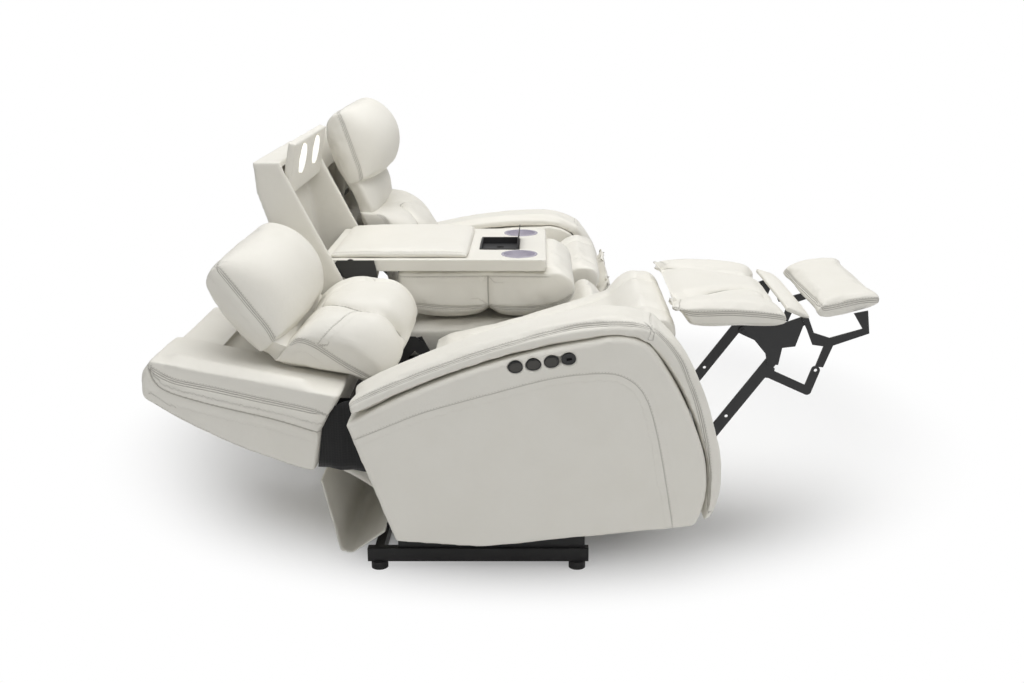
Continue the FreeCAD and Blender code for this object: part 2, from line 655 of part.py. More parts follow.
    def calf_rest(self):
        nose, lift = float(D.nose_radius) + 0.4, float(PAD_LIFT)
        length, thick = float(D.calf_length), float(D.calf_thick)
        start = math.sqrt(nose ** 2 - lift ** 2)
        turn_at = nose * 0.7071
        outline = [(start, lift), ("arc", (turn_at, turn_at), (2.0, nose)), (2.0, thick + lift - 2),
                   ("arc", (length * 0.45, thick + lift + 3), (length - 36, thick + lift - 14)),
                   ("arc", (length - 20, thick * 0.55), (length - 32, lift))]
        width = float(HALF - D.side_gap)
        pad = pillow(outline, width, lift, 10.0, 0.0, float(D.centre_width) / 2, 7.0)
        pad = pad.cut(round_bar(nose, -width - 1, width + 1, 0, 0))
        keep(self.label("calf_pad"), set_shape(pad), self.calf)

    def links(self):
        """Calf brackets, long leg links and the bent braces, each pair in its own plane."""
        thick, spread = D.link_thick, D.link_spread
        lift = float(PAD_LIFT)
        pitch = float(thick) + 1.2
        b_along, b_up = LEG_PIVOT
        f_along, f_up = FOOT_PIVOT
        bracket = [(195, lift - 0.7), (D.calf_length - 32, lift - 0.7), (f_along - 8, f_up + 10),
                   (f_along + 9, f_up + 9), (f_along + 10, f_up - 4), (f_along - 3, f_up - 14), (338, -58),
                   (305, -62), (b_along + 14, b_up - 12), (b_along - 14, b_up - 10), (b_along - 20, b_up + 18)]
        near, far = plate_pair(bracket, thick, spread, [(f_along, f_up, D.pin_radius * 0.6 + D.pin_fit)])
        pins = []
        for sign in (-1, 1):
            x = sign * float(spread) / 2
            pins.append(rod(D.pin_radius * 0.6, (x, b_along, b_up), (x - sign * (pitch + 3.2), b_along, b_up)))
        keep(self.label("calf_brackets"), fuse_pairs([near, far], pins), self.calf)

        along, up = math.cos(LEG_SLOPE), math.sin(LEG_SLOPE)
        bar = bar_outline((b_along, b_up), (b_along + along * LEG_LENGTH, b_up + up * LEG_LENGTH),
                          float(D.link_width) / 2)
        tail = [(BRACE_PIVOT[0] - 10, BRACE_PIVOT[1] + 26), (BRACE_PIVOT[0] + 13, BRACE_PIVOT[1] + 16),
                (BRACE_PIVOT[0] + 11, BRACE_PIVOT[1] - 11), (BRACE_PIVOT[0] - 14, BRACE_PIVOT[1] - 9)]
        hole = float(D.pin_radius) * 0.6 + float(D.pin_fit)
        legs = []
        for sign in (-1, 1):
            x = sign * (float(spread) / 2 - pitch)
            leg = flat(bar, x, float(thick)).fuse(flat(tail, x, float(thick)))
            for point in (LEG_PIVOT, (b_along + along * 190, b_up + up * 190),
                          (b_along + along * (LEG_LENGTH - 14), b_up + up * (LEG_LENGTH - 14))):
                leg = leg.cut(round_bar(hole, x - 10, x + 10, *point))
            end = x - sign * (pitch + float(thick))
            leg = leg.fuse(round_bar(float(D.pin_radius) * 0.6, min(x, end), max(x, end), *BRACE_PIVOT))
            legs.append(leg.removeSplitter())
        keep(self.label("leg_links"), set_shape(Part.makeCompound(legs)), self.leg)

        start, elbow, end = BRACE_PIVOT, (378, -181), (397, -126)
        half = float(D.link_width) * 0.38
        braces = []
        for sign in (-1, 1):
            x = sign * (float(spread) / 2 - 2 * pitch)
            brace = flat(bar_outline(start, elbow, half), x, float(thick))
            brace = brace.fuse(flat(bar_outline(elbow, end, half), x, float(thick)))
            for point in (start, end):
                brace = brace.cut(round_bar(hole, x - 10, x + 10, *point))
            braces.append(brace.removeSplitter())
        keep(self.label("brace_links"), set_shape(Part.makeCompound(braces)), self.brace)

    def foot_rest(self):
        """The foot pad and the bent arms that carry it."""
        start = float(D.calf_length + D.foot_gap)
        length, thick = float(D.foot_length), float(D.foot_thick)
        lift = 12.0
        slope = math.radians(11.5)

        def tip(along, up):
            return (start + along * math.cos(slope) - up * math.sin(slope),
                    lift + along * math.sin(slope) + up * math.cos(slope))

        outline = [tip(0, 2), ("arc", tip(-7, thick * 0.55), tip(12, thick)),
                   ("arc", tip(length * 0.5, thick + 6), tip(length - 16, thick - 2)),
                   ("arc", tip(length - 2, thick * 0.6), tip(length - 12, 4)), tip(length * 0.5, 0)]
        pad = pillow(outline, float(D.foot_width) / 2, lift, 7.0, 0.0)
        keep(self.label("foot_pad"), set_shape(pad), self.foot)
        f_along, f_up = FOOT_PIVOT
        run = [(f_along - 9, f_up + 8), (f_along + 9, f_up + 8), (f_along + 24, f_up - 30),
               (423, -34), (505, -10), tip(96, -0.8), tip(132, -0.8), (523, -22), (433, -54), (411, -112),
               (391, -110), (409, -56), (380, -52),
               (f_along + 6, f_up - 22)]
        spread = float(D.link_spread) + 2 * (float(D.link_thick) + 1.2)
        near, far = plate_pair(run, D.link_thick, spread)
        pins = []
        for sign in (-1, 1):
            x = sign * spread / 2
            pins.append(rod(D.pin_radius * 0.6, (x, f_along, f_up), (x - sign * 9.5, f_along, f_up)))
        keep(self.label("foot_arms"), fuse_pairs([near, far], pins), self.foot)


def fuse_pairs(plates, pins):
    """Each plate with its own pin, the two sides kept as separate solids in one set."""
    return group(*[fuse(piece, pin) for piece, pin in zip(plates, pins)])


def stadium(face, side, forward, up, straight, radius, depth, proud):
    """A round-ended block that stands through the arm's outer face."""
    inner, outer = face - side * depth, face + side * proud
    x0, x1 = min(inner, outer), max(inner, outer)
    block = Part.makeBox(x1 - x0, straight, 2 * radius, Vector(x0, -forward - straight / 2, up - radius))
    ends = [round_bar(radius, x0, x1, forward + sign * straight / 2, up) for sign in (-1, 1)]
    return block.fuse(ends).removeSplitter()


def bar_outline(start, end, half):
    """A flat bar with round ends, as side-view points and arcs."""
    length = math.hypot(end[0] - start[0], end[1] - start[1])
    along = ((end[0] - start[0]) / length, (end[1] - start[1]) / length)
    across = (-along[1] * half, along[0] * half)
    tail = (start[0] - along[0] * half, start[1] - along[1] * half)
    head = (end[0] + along[0] * half, end[1] + along[1] * half)
    return [(start[0] - across[0], start[1] - across[1]), (end[0] - across[0], end[1] - across[1]),
            ("arc", head, (end[0] + across[0], end[1] + across[1])),
            (start[0] + across[0], start[1] + across[1]),
            ("arc", tail, (start[0] - across[0], start[1] - across[1]))]


def flat(outline, x, thick):
    """A flat piece of a side-view outline, centred on x."""
    face = Part.Face(side_wire(x - thick / 2, numbers(outline)))
    return face.extrude(Vector(thick, 0, 0))


def loft_stops(outline, stops, ruled=True):
    """A loft across through (x, inset) stops: each shrinks the outline about its middle."""
    plain = numbers(outline)
    points = [step[2] if step[0] == "arc" else step for step in plain]
    spans = [max(p[i] for p in points) - min(p[i] for p in points) for i in (0, 1)]
    middle = [(max(p[i] for p in points) + min(p[i] for p in points)) / 2 for i in (0, 1)]
    wires = []
    for x, inset in stops:
        grow = (1 - 2 * inset / spans[0], 1 - 2 * inset / spans[1])
        wires.append(side_wire(x, plain, middle, grow))
    return loft(wires, ruled)


class Console:
    """The fixed middle seat, and its back that folds down as a table."""

    def __init__(self):
        self.root = Placement()
        self.half = float(D.middle_width) / 2 - float(D.side_gap)

    def build(self):
        for make in (self.case, self.frame, self.seat, self.light, self.table, self.hub, self.cups):
            make()

    def frame(self):
        low, high = float(D.rail_clear), float(D.rail_clear + D.rail_high)
        side = self.half - 10
        rail = float(D.rail_wide)
        deck = float(D.seat_floor) - 12.4
        rear, front = -470.0, float(D.nose_forward) - 14
        solids = []
        for sign in (-1, 1):
            x0 = side - rail if sign > 0 else -side
            solids.append(block(x0, x0 + rail, rear, front, low, high))
            for forward in (rear, front - rail):
                solids.append(block(x0, x0 + rail, forward, forward + rail, low, deck))
            solids.append(block(x0, x0 + rail, rear, front, deck - 36, deck))
            ear = [(FOLD[0] - 16, deck - 10), (FOLD[0] + 16, deck - 10), (FOLD[0] + 12, FOLD[1] + 12),
                   (FOLD[0] - 12, FOLD[1] + 12)]
            x = sign * (self.half - 4)
            plate_solid = flat(ear, x, 5.0)
            start, end = x, x - sign * 22
            pin = round_bar(float(D.pin_radius), min(start, end), max(start, end), *numbers([FOLD])[0])
            foot = flat([(FOLD[0] - 16, deck - 30), (FOLD[0] + 16, deck - 30), (FOLD[0] + 16, deck - 6),
                         (FOLD[0] - 16, deck - 6)], sign * (side + 2), 12.0)
            solids += [plate_solid, pin, foot]
        for forward in (rear, front - rail):
            solids.append(block(-side, side, forward, forward + rail, deck - 36, deck))
            solids.append(block(-side, side, forward, forward + rail, low, high))
        solids.append(block(-side, side, rear, front, deck, deck + 12))
        box_low, box_rear, shelf = float(D.box_foot) - 10, -742.0, 180.0
        for sign in (-1, 1):
            x0 = shelf if sign > 0 else -shelf - rail
            solids.append(block(x0, x0 + rail, box_rear, rear + 1, box_low, box_low + 36))
            solids.append(block(x0, x0 + rail, rear - 11, rear + 1, box_low, deck))
        reach = float(D.middle_width) / 2 + 8
        for forward in (-300.0, 60.0):
            for start, end in ((-reach, 1 - side), (side - 1, reach)):
                solids.append(block(start, end, forward, forward + 40, low + 6, high - 6))
        frame = solids[0].multiFuse(solids[1:]).cut(PARTS["console_box"][0].Shape)
        keep("middle_frame", set_shape(frame.removeSplitter()), self.root)

    def seat(self):
        bottom = float(D.seat_floor)
        nose_up = 528.0
        outline = [(-441, bottom), (-441, 486), ("arc", (-180, 494), (110, 490)),
                   ("arc", (180, nose_up), (236, nose_up - 46)), ("arc", (250, 450), (232, bottom)),
                   (172, bottom)]
        cushion = pillow(outline, self.half, bottom, 8.0, 0.0, float(D.centre_width) / 2, 5.0)
        keep("middle_seat_cushion", set_shape(cushion), self.root)
        front = [(float(D.nose_forward) - 13.5, 60), (float(D.nose_forward) - 13.5, bottom - 1),
                 (236, bottom - 1), ("arc", (250, 250), (232, 60))]
        panel = loft_stops(front, [(-self.half, 3.0), (8 - self.half, 0.0), (self.half - 8, 0.0),
                                   (self.half, 3.0)])
        keep("middle_front_panel", set_shape(panel), self.root)

    def case(self):
        """The hollow back box: two side panels, a rear wall, a top and a shelf."""
        wall = float(D.box_wall)
        top, foot = float(D.box_top), float(D.box_foot)
        side = [(-588, 658), (-751, top), (-829, top - 1), (-822, 900), (-790, 800), (-752, 480),
                (-742, foot), (-700, foot), (-560, 480), (-540, 560)]
        inner = [(-500, 700), (-560, 700), (-727, top - wall), (-806, top - wall), (-798, 900),
                 (-766, 800), (-728, 480), (-718, foot - 20), (-500, foot - 20)]
        outer = flat(side, 0.0, 2 * self.half)
        room = flat(inner, 0.0, 2 * (self.half - wall))
        keep("console_box", set_shape(outer.cut(room)), self.root)

    def light(self):
        """The reading light panel, held to the rear wall of the box by its own block."""
        thick, high = float(D.light_thick), float(D.light_high)
        lean = math.radians(11.3)
        foot = (-757.0, 884.0)
        along = (math.sin(lean), math.cos(lean))
        across = (math.cos(lean), -math.sin(lean))

        def spot(up, forward):
            return (foot[0] + along[0] * up + across[0] * forward,
                    foot[1] + along[1] * up + across[1] * forward)

        outline = [spot(0, 0), spot(high, 0), spot(high, thick), spot(0, thick)]
        half = self.half - float(D.box_wall) - float(D.fit)
        block_outline = [spot(8, 1), spot(64, 1), (-812, 950), (-812, 896)]
        panel = flat(outline, 0.0, 2 * half).fuse(flat(block_outline, 0.0, 1.4 * half))
        panel = panel.cut(PARTS["console_box"][0].Shape)
        panel = sorted(panel.Solids, key=lambda solid: solid.Volume)[-1]
        lights = []
        for x in (-1, 1):
            centre = spot(high * 0.62, thick)
            start = Vector(x * float(D.light_spread) / 2, -centre[0], centre[1])
            axis = Vector(0, -across[0], across[1])
            panel = panel.cut(Part.makeCylinder(float(D.light_radius) + 0.3, 14, start - axis * 11, axis))
            lights.append(Part.makeCylinder(float(D.light_radius), 12.4, start - axis * 11, axis))
        keep("light_panel", set_shape(panel), self.root)
        keep("panel_lights", set_shape(Part.makeCompound(lights)), self.root)

    def table(self):
        top, thick = float(D.table_top), float(D.table_thick)
        rear, front = -float(D.table_rear), float(D.table_front)
        half = float(D.table_width) / 2
        low = top - thick
        body = Part.makeBox(2 * half, front - rear, thick, Vector(-half, -front, low))
        body = body.makeFillet(10, [e for e in body.Edges if abs(e.BoundBox.ZLength) > thick - 1])
        hub_rear, hub_half = self.hub_place()
        deep = float(D.hub_depth) + float(D.fit)
        fit = float(D.fit)
        body = body.cut(block(-hub_half - fit, hub_half + fit, hub_rear - fit,
                              hub_rear + float(D.hub_length) + fit, top - deep, top + 5))
        for x in (-1, 1):
            centre = Vector(x * self.cup_x(), -self.cup_forward(), top - float(D.cup_depth) - fit)
            body = body.cut(Part.makeCylinder(float(D.cup_radius) + fit, 80, centre))
        tray_rear, tray_front = rear + 40, hub_rear - 22
        body = body.cut(block(-half + 40, half - 40, tray_rear + 14, tray_front - 14,
                              top - float(D.tray_depth), top + 5))
        keep("table_body", set_shape(body), self.root)

        lid = [(rear + 22, top + 0.3), (tray_front, top + 0.3),
               (tray_front - 2, top + float(D.lid_thick) - 4),
               ("arc", ((rear + tray_front) / 2, top + float(D.lid_thick) + 4),
                (rear + 26, top + float(D.lid_thick) - 5))]
        lid_shape = pillow(lid, half - 18, top + 0.3, 3.0, 0.0)
        keep("storage_lid", set_shape(lid_shape), self.root)

        drop, tip = float(D.cushion_drop), float(D.cushion_front)
        foot = low - drop
        pad = [(-440, low - 0.4), (-440, foot + 22), ("arc", (-300, foot), (-150, foot + 10)),
               ("arc", (-30, foot + 2), (tip - 60, foot + 22)),
               ("arc", (tip, foot + drop * 0.45), (tip - 62, low - 0.4))]
        cushion = pillow(pad, half + 8, low - 0.4, 10.0, 0.0, 125.0, 0.0)
        for x in (-1, 1):
            centre = Vector(x * self.cup_x(), -self.cup_forward(), top - float(D.cup_depth) - fit)
            cushion = cushion.cut(Part.makeCylinder(float(D.cup_radius) + fit, 80, centre))
        keep("table_cushion", set_shape(cushion), self.root)

        arms = []
        for sign in (-1, 1):
            x = sign * (half + 5)
            arm = flat([(rear + 35, low + 8), (rear + 55, low + 34), (rear + 165, low + 34),
                        (rear + 170, low + 12), (FOLD[0] - 16, FOLD[1] + 60), (FOLD[0] + 14, FOLD[1] + 14),
                        (FOLD[0] + 14, FOLD[1] - 14), (FOLD[0] - 14, FOLD[1] - 14),
                        (FOLD[0] - 40, FOLD[1] + 40)], x, 6.0)
            hole = round_bar(float(D.pin_radius + D.pin_fit), x - 10, x + 10, *numbers([FOLD])[0])
            arm = arm.cut(hole)
            near, far = sign * (half + 0.0), sign * (half + 8)
            boss = round_bar(13, min(near, far), max(near, far), rear + 95, low + 25)
            arms.append(arm.fuse(boss))
        keep("table_hinges", set_shape(Part.makeCompound(arms)), self.root)

    def hub_place(self):
        return -184.0, float(D.hub_width) / 2

    def cup_x(self):
        return float(D.hub_width) / 2 + float(D.cup_radius) + 25

    def cup_forward(self):
        return float(D.table_front) - float(D.cup_radius) - 33

    def hub(self):
        """A dark tray with two sockets, and a small lid at its front edge."""
        rear, half = self.hub_place()
        length, depth, top = float(D.hub_length), float(D.hub_depth), float(D.table_top)
        tray = block(-half, half, rear, rear + length, top - depth, top + 2)
        tray = tray.cut(block(-half + 5, half - 5, rear + 5, rear + length - 5, top - depth + 12, top + 9))
        for x in (-30, 30):
            tray = tray.cut(Part.makeCylinder(13, 9, Vector(x, -(rear + length / 2), top - depth + 4)))
        keep("hub_tray", set_shape(tray), self.root)
        hinge = (rear + length - 3, top + 2 + 1.85)
        high = float(D.hub_lid_high)
        lid = flat([(hinge[0] - 1.4, hinge[1]), (hinge[0] + 1.4, hinge[1]), (hinge[0] + 6.8, hinge[1] + high),
                    (hinge[0] + 4, hinge[1] + high)], 0.0, 2 * half - 16)
        barrel = round_bar(1.8, 8 - half, half - 8, *hinge)
        keep("hub_lid", set_shape(lid.fuse(barrel).removeSplitter()), self.root)

    def cups(self):
        radius, wall, depth = float(D.cup_radius), float(D.cup_wall), float(D.cup_depth)
        top = float(D.table_top)
        cups = []
        for x in (-1, 1):
            base = Vector(x * self.cup_x(), -self.cup_forward(), top - depth)
            cup = Part.makeCylinder(radius, depth, base)
            ring = Part.makeCylinder(radius + 5, 2.2, base + Vector(0, 0, depth))
            bore = Part.makeCylinder(radius - wall, depth + 9, base + Vector(0, 0, wall))
            cups.append(cup.fuse(ring).cut(bore).removeSplitter())
        keep("cup_holders", set_shape(Part.makeCompound(cups)), self.root)


def block(x0, x1, back, front, low, high):
    """A plain box shape between two corners, with forward values front to back."""
    return Part.makeBox(x1 - x0, front - back, high - low, Vector(x0, -front, low))


def glides():
    """One round glide under every corner of the three floor frames."""
    spots = [place.multVec(Vector(x, -forward, 0)) for place, x, forward in helpers]
    side = float(D.middle_width) / 2 - float(D.side_gap) - 10 - float(D.rail_wide) / 2
    for forward in (40 - 470, float(D.nose_forward) - 60):
        spots += [Vector(sign * side, -forward, 0) for sign in (-1, 1)]
    feet = [Part.makeCylinder(float(D.glide_radius), float(D.rail_clear), spot) for spot in spots]
    keep("floor_glides", set_shape(Part.makeCompound(feet)), Placement())


for seat in (Seat("right", -1, 1, 1), Seat("left", 1, 0, 0)):
    seat.build()
Console().build()
glides()

doc.recompute()
for name, (obj, place) in PARTS.items():
    obj.Placement = place * obj.Placement
doc.recompute()
whole = FreeCAD.BoundBox()
for obj, place in PARTS.values():
    whole.add(obj.Shape.BoundBox)
CENTRING = Placement(Vector(-whole.Center.x, -whole.Center.y, -whole.ZMin), Rotation())
for obj, place in PARTS.values():
    obj.Placement = CENTRING * obj.Placement
doc.recompute()
for obj in doc.Objects:
    if "Invalid" in obj.State or "Error" in obj.State:
        raise RuntimeError("%s failed: %s" % (obj.Label, obj.State))
os.makedirs("parts", exist_ok=True)
for name, (obj, place) in PARTS.items():
    shape = obj.Shape
    if shape.isNull() or not shape.isValid():
        raise RuntimeError("%s has no valid shape" % name)
    shape.exportStep("parts/%s.step" % name)
    print(name, round(shape.Volume / 1e6, 3), len(shape.Solids))
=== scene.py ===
"""A three-place power reclining sofa in white leather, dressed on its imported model.

The sitter's left seat is closed and the right one is open. Each padded piece is made once on the
closed left seat, and the right seat gets a mirrored copy, moved by that seat's own joints.
"""

from __future__ import annotations

import json
import logging
import math
from dataclasses import dataclass, field
from enum import Enum
from typing import Any, Sequence

import bpy
import numpy as np
from mathutils import Matrix, Vector, noise
from mathutils.bvhtree import BVHTree

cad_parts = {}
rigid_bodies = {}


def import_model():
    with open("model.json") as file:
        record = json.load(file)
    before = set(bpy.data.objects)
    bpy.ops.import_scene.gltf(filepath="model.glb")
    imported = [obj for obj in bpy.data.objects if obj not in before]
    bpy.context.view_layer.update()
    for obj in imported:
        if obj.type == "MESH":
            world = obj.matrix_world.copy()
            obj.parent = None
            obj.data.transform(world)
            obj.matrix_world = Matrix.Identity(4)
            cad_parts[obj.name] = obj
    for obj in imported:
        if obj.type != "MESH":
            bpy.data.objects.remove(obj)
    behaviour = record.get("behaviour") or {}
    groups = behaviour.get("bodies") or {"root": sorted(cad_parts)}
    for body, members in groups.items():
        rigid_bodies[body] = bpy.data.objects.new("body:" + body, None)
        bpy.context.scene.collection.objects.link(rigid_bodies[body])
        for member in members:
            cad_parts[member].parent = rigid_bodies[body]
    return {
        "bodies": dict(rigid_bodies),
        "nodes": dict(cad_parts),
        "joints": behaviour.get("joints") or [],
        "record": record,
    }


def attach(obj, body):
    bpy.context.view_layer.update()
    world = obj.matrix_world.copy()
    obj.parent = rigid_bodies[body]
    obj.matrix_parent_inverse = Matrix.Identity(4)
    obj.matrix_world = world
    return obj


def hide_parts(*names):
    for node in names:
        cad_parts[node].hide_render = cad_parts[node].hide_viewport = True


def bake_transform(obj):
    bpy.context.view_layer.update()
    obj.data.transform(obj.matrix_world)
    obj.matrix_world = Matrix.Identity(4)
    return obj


LOG = logging.getLogger("sofa")
Point = tuple[float, float, float]
Run = tuple[Point, ...]


class Side(Enum):
    """The two end seats, named from the sitter's place."""

    LEFT = "left"
    RIGHT = "right"


class Sewing(Enum):
    """How a line is sewn into the leather: (mark in the shader, depth, reach), in metres."""

    PIPED = (1.0, 0.0040, 0.020)
    STITCHED = (2.0, 0.0014, 0.010)
    CHANNEL = (3.0, 0.014, 0.040)
    FOLD = (3.0, 0.010, 0.022)
    PUFF = (0.0, -0.012, 0.045)

    @property
    def mark(self) -> float:
        """The number that tells the shader how the line is drawn."""
        return self.value[0]

    @property
    def depth(self) -> float:
        """How deep the line is drawn in."""
        return self.value[1]

    @property
    def reach(self) -> float:
        """How far to each side the leather rolls into the line."""
        return self.value[2]


class Sock:
    """A shader socket whose operators add Math nodes."""

    def __init__(self, shade: "Shade", socket: bpy.types.NodeSocket) -> None:
        """Wraps one output socket.

        Args:
            shade: the material being built.
            socket: the output socket.
        """
        self.shade = shade
        self.socket = socket

    def _math(self, operation: str, *values: Any) -> "Sock":
        """Adds one Math node."""
        return self.shade.node("ShaderNodeMath", {"operation": operation}, *values)

    def __add__(self, other: Any) -> "Sock":
        """Returns the sum."""
        return self._math("ADD", self, other)

    def __mul__(self, other: Any) -> "Sock":
        """Returns the product."""
        return self._math("MULTIPLY", self, other)

    def __sub__(self, other: Any) -> "Sock":
        """Returns the difference."""
        return self._math("SUBTRACT", self, other)

    def __rsub__(self, other: Any) -> "Sock":
        """Returns a number less this socket."""
        return self._math("SUBTRACT", other, self)

    __radd__ = __add__
    __rmul__ = __mul__

    def size(self) -> "Sock":
        """Returns the value without its sign."""
        return self._math("ABSOLUTE", self)

    def above(self, limit: float) -> "Sock":
        """Returns 1 where the value is above the limit, else 0."""
        return self._math("GREATER_THAN", self, limit)

    def wrapped(self, period: float) -> "Sock":
        """Returns the place within a repeat of that period."""
        return self._math("FLOORED_MODULO", self, period)

    def fade(self, near: float, far: float, at_near: float = 1.0, at_far: float = 0.0) -> "Sock":
        """Returns a soft step between two values.

        Args:
            near: where the step starts.
            far: where the step ends.
            at_near: the result at near.
            at_far: the result at far.

        Returns:
            The stepped value.
        """
        return self.shade.node("ShaderNodeMapRange", {"interpolation_type": "SMOOTHSTEP"},
                               self, near, far, at_near, at_far)


class Shade:
    """One material on a Principled shader."""

    def __init__(self, name: str) -> None:
        """Starts an empty material with its shader and output.

        Args:
            name: the material's name.
        """
        self.material = bpy.data.materials.new(name)
        self.material.use_nodes = True
        self.tree = self.material.node_tree
        self.tree.nodes.clear()
        self.shader = self.tree.nodes.new("ShaderNodeBsdfPrincipled")
        self.output = self.tree.nodes.new("ShaderNodeOutputMaterial")
        self.tree.links.new(self.shader.outputs[0], self.output.inputs[0])

    def node(self, kind: str, settings: dict[str, Any] | None = None, *values: Any,
             out: int | str = 0, **named: Any) -> Sock:
        """Adds any node.

        Args:
            kind: the node's type.
            settings: the node's own settings, set before its sockets.
            *values: the values or links of its sockets, in order; None leaves one alone.
            out: the output that is returned.
            **named: values or links by socket name, with _ for a space.

        Returns:
            The chosen output.
        """
        made = self.tree.nodes.new(kind)
        for key, value in (settings or {}).items():
            if key == "stops":
                for index, (place, colour) in enumerate(value):
                    stops = made.color_ramp.elements
                    stop = stops[index] if index < 2 else stops.new(place)
                    stop.position = place
                    stop.color = colour
            else:
                setattr(made, key, value)
        pairs = list(zip(made.inputs, values))
        pairs += [(made.inputs[key.replace("_", " ")], value) for key, value in named.items()]
        for socket, value in pairs:
            self.feed(socket, value)
        return Sock(self, made.outputs[out])

    def feed(self, socket: bpy.types.NodeSocket, value: Any) -> None:
        """Links or sets one input."""
        if isinstance(value, Sock):
            self.tree.links.new(value.socket, socket)
        elif value is not None:
            socket.default_value = value

    def set(self, **named: Any) -> "Shade":
        """Sets or links the shader's own sockets.

        Args:
            **named: socket names with _ for a space.

        Returns:
            The same material.
        """
        for key, value in named.items():
            self.feed(self.shader.inputs[key.replace("_", " ")], value)
        return self

    def mix(self, factor: Sock, first: Any, second: Any) -> Sock:
        """Returns a mix of two colours."""
        made = self.tree.nodes.new("ShaderNodeMix")
        made.data_type = "RGBA"
        self.feed(made.inputs[0], factor)
        self.feed(made.inputs[6], first)
        self.feed(made.inputs[7], second)
        return Sock(self, made.outputs[2])

    def noise(self, scale: float, detail: float = 2.0, vector: Sock | None = None) -> Sock:
        """Returns a noise pattern in object space."""
        place = vector or self.node("ShaderNodeTexCoord", out="Object")
        return self.node("ShaderNodeTexNoise", Vector=place, Scale=scale, Detail=detail)

    def bump(self, height: Sock, strength: float, distance: float,
             normal: Sock | None = None) -> Sock:
        """Returns a bumped normal."""
        return self.node("ShaderNodeBump", Height=height, Strength=strength, Distance=distance,
                         Normal=normal)


@dataclass(frozen=True)
class Leather:
    """Pigmented split leather with a fine pebble grain, sewn along the lines its mesh names.

    The cord is the piping's half width, row the stitches' distance from it, and pitch and stitch
    the repeat and the length of one stitch. Lengths are in metres.
    """

    name: str = "leather"
    colour: Point = (0.83, 0.808, 0.742)
    worn: Point = (0.95, 0.945, 0.93)
    # Painted shade: the colour drawn into the seam lines and stitch holes.
    crease: Point = (0.30, 0.28, 0.24)
    grain_scale: float = 620.0
    grain_height: float = 0.00028
    wrinkle_height: float = 0.0022
    sewing_height: float = 0.0011
    pucker_scale: Point = (95.0, 22.0, 0.0)
    cord: float = 0.0048
    row: float = 0.0030
    thread: float = 0.0009
    pitch: float = 0.0075
    stitch: float = 0.0052
    rough: float = 0.44

    def build(self) -> bpy.types.Material:
        """Returns the material.

        Returns:
            A material that reads the "seam" attribute: along, across and mark.
        """
        shade = Shade(self.name)
        seam = shade.node("ShaderNodeAttribute", {"attribute_name": "seam"}, out="Vector")
        parts = shade.node("ShaderNodeSeparateXYZ", None, seam)
        signed = Sock(shade, parts.socket.node.outputs[1])
        across = signed.size()
        mark = Sock(shade, parts.socket.node.outputs[2])
        sewn = mark.fade(0.2, 0.6, 0.0, 1.0)
        piped = sewn * mark.fade(1.3, 1.6)
        plain = mark.fade(1.3, 1.6, 0.0, 1.0) * mark.fade(2.3, 2.6)
        deep = mark.fade(2.3, 2.6, 0.0, 1.0)
        centre = across.fade(0.0002, 0.0016)
        edge = (across - self.cord).size().fade(0.0002, 0.0013)
        gap = across.fade(0.0006, 0.0032)
        # The seam line mask shapes the grooves in the bump and also paints shade into the colour.
        line = centre * piped + edge * piped * 0.8 + centre * plain * 0.7 + gap * deep
        row = piped * (self.cord + self.row) + plain * self.row
        rows = (across - row).size().fade(self.thread * 0.5, self.thread * 1.4)
        dash = parts.wrapped(self.pitch).fade(self.stitch, self.stitch + 0.0008)
        one_side = signed.fade(-0.0005, 0.0005, 0.0, 1.0)
        stitched = (piped + plain) * one_side
        holes = rows * (1.0 - dash) * stitched
        threads = rows * dash * stitched
        cords = across.fade(self.cord * 0.9, self.cord * 1.1) * piped
        soft = shade.noise(9.0, 3.0)
        rubbed = tuple(plain * share for plain, share in zip(self.colour, self.worn))
        worn = shade.mix(soft.fade(0.35, 0.7, 0.0, 0.35), (*self.colour, 1.0), (*rubbed, 1.0))
        # Painted shade: seam lines and stitch holes are drawn darker in the colour, as shade in
        # the grooves.
        seam_shaded_colour = shade.mix(line * 0.55 + holes * 0.4, worn, (*self.crease, 1.0))
        place = shade.node("ShaderNodeTexCoord", out="Object")
        pebble = shade.node("ShaderNodeTexVoronoi", {"feature": "DISTANCE_TO_EDGE"}, Vector=place,
                            Scale=self.grain_scale)
        grain = pebble.fade(0.0, 0.35, 0.0, 1.0)
        fine = shade.noise(1500.0, 2.0)
        wrinkle = shade.noise(55.0, 4.0)
        stretched = shade.node("ShaderNodeVectorMath", {"operation": "MULTIPLY"}, seam,
                               self.pucker_scale)
        pucker = shade.noise(1.0, 1.5, stretched) * across.fade(0.004, 0.03) * sewn
        sewing = cords * 0.9 + threads * 0.4 - line * 1.3 - holes * 0.4 + pucker * 1.2
        normal = shade.bump(grain + fine * 0.35, 0.5, self.grain_height)
        normal = shade.bump(wrinkle, 0.35, self.wrinkle_height, normal)
        normal = shade.bump(sewing, 1.0, self.sewing_height, normal)
        rough = self.rough + grain * -0.06 + soft * 0.06
        shade.set(Base_Color=seam_shaded_colour, Roughness=rough, Normal=normal, Specular_IOR_Level=0.42)
        return shade.material


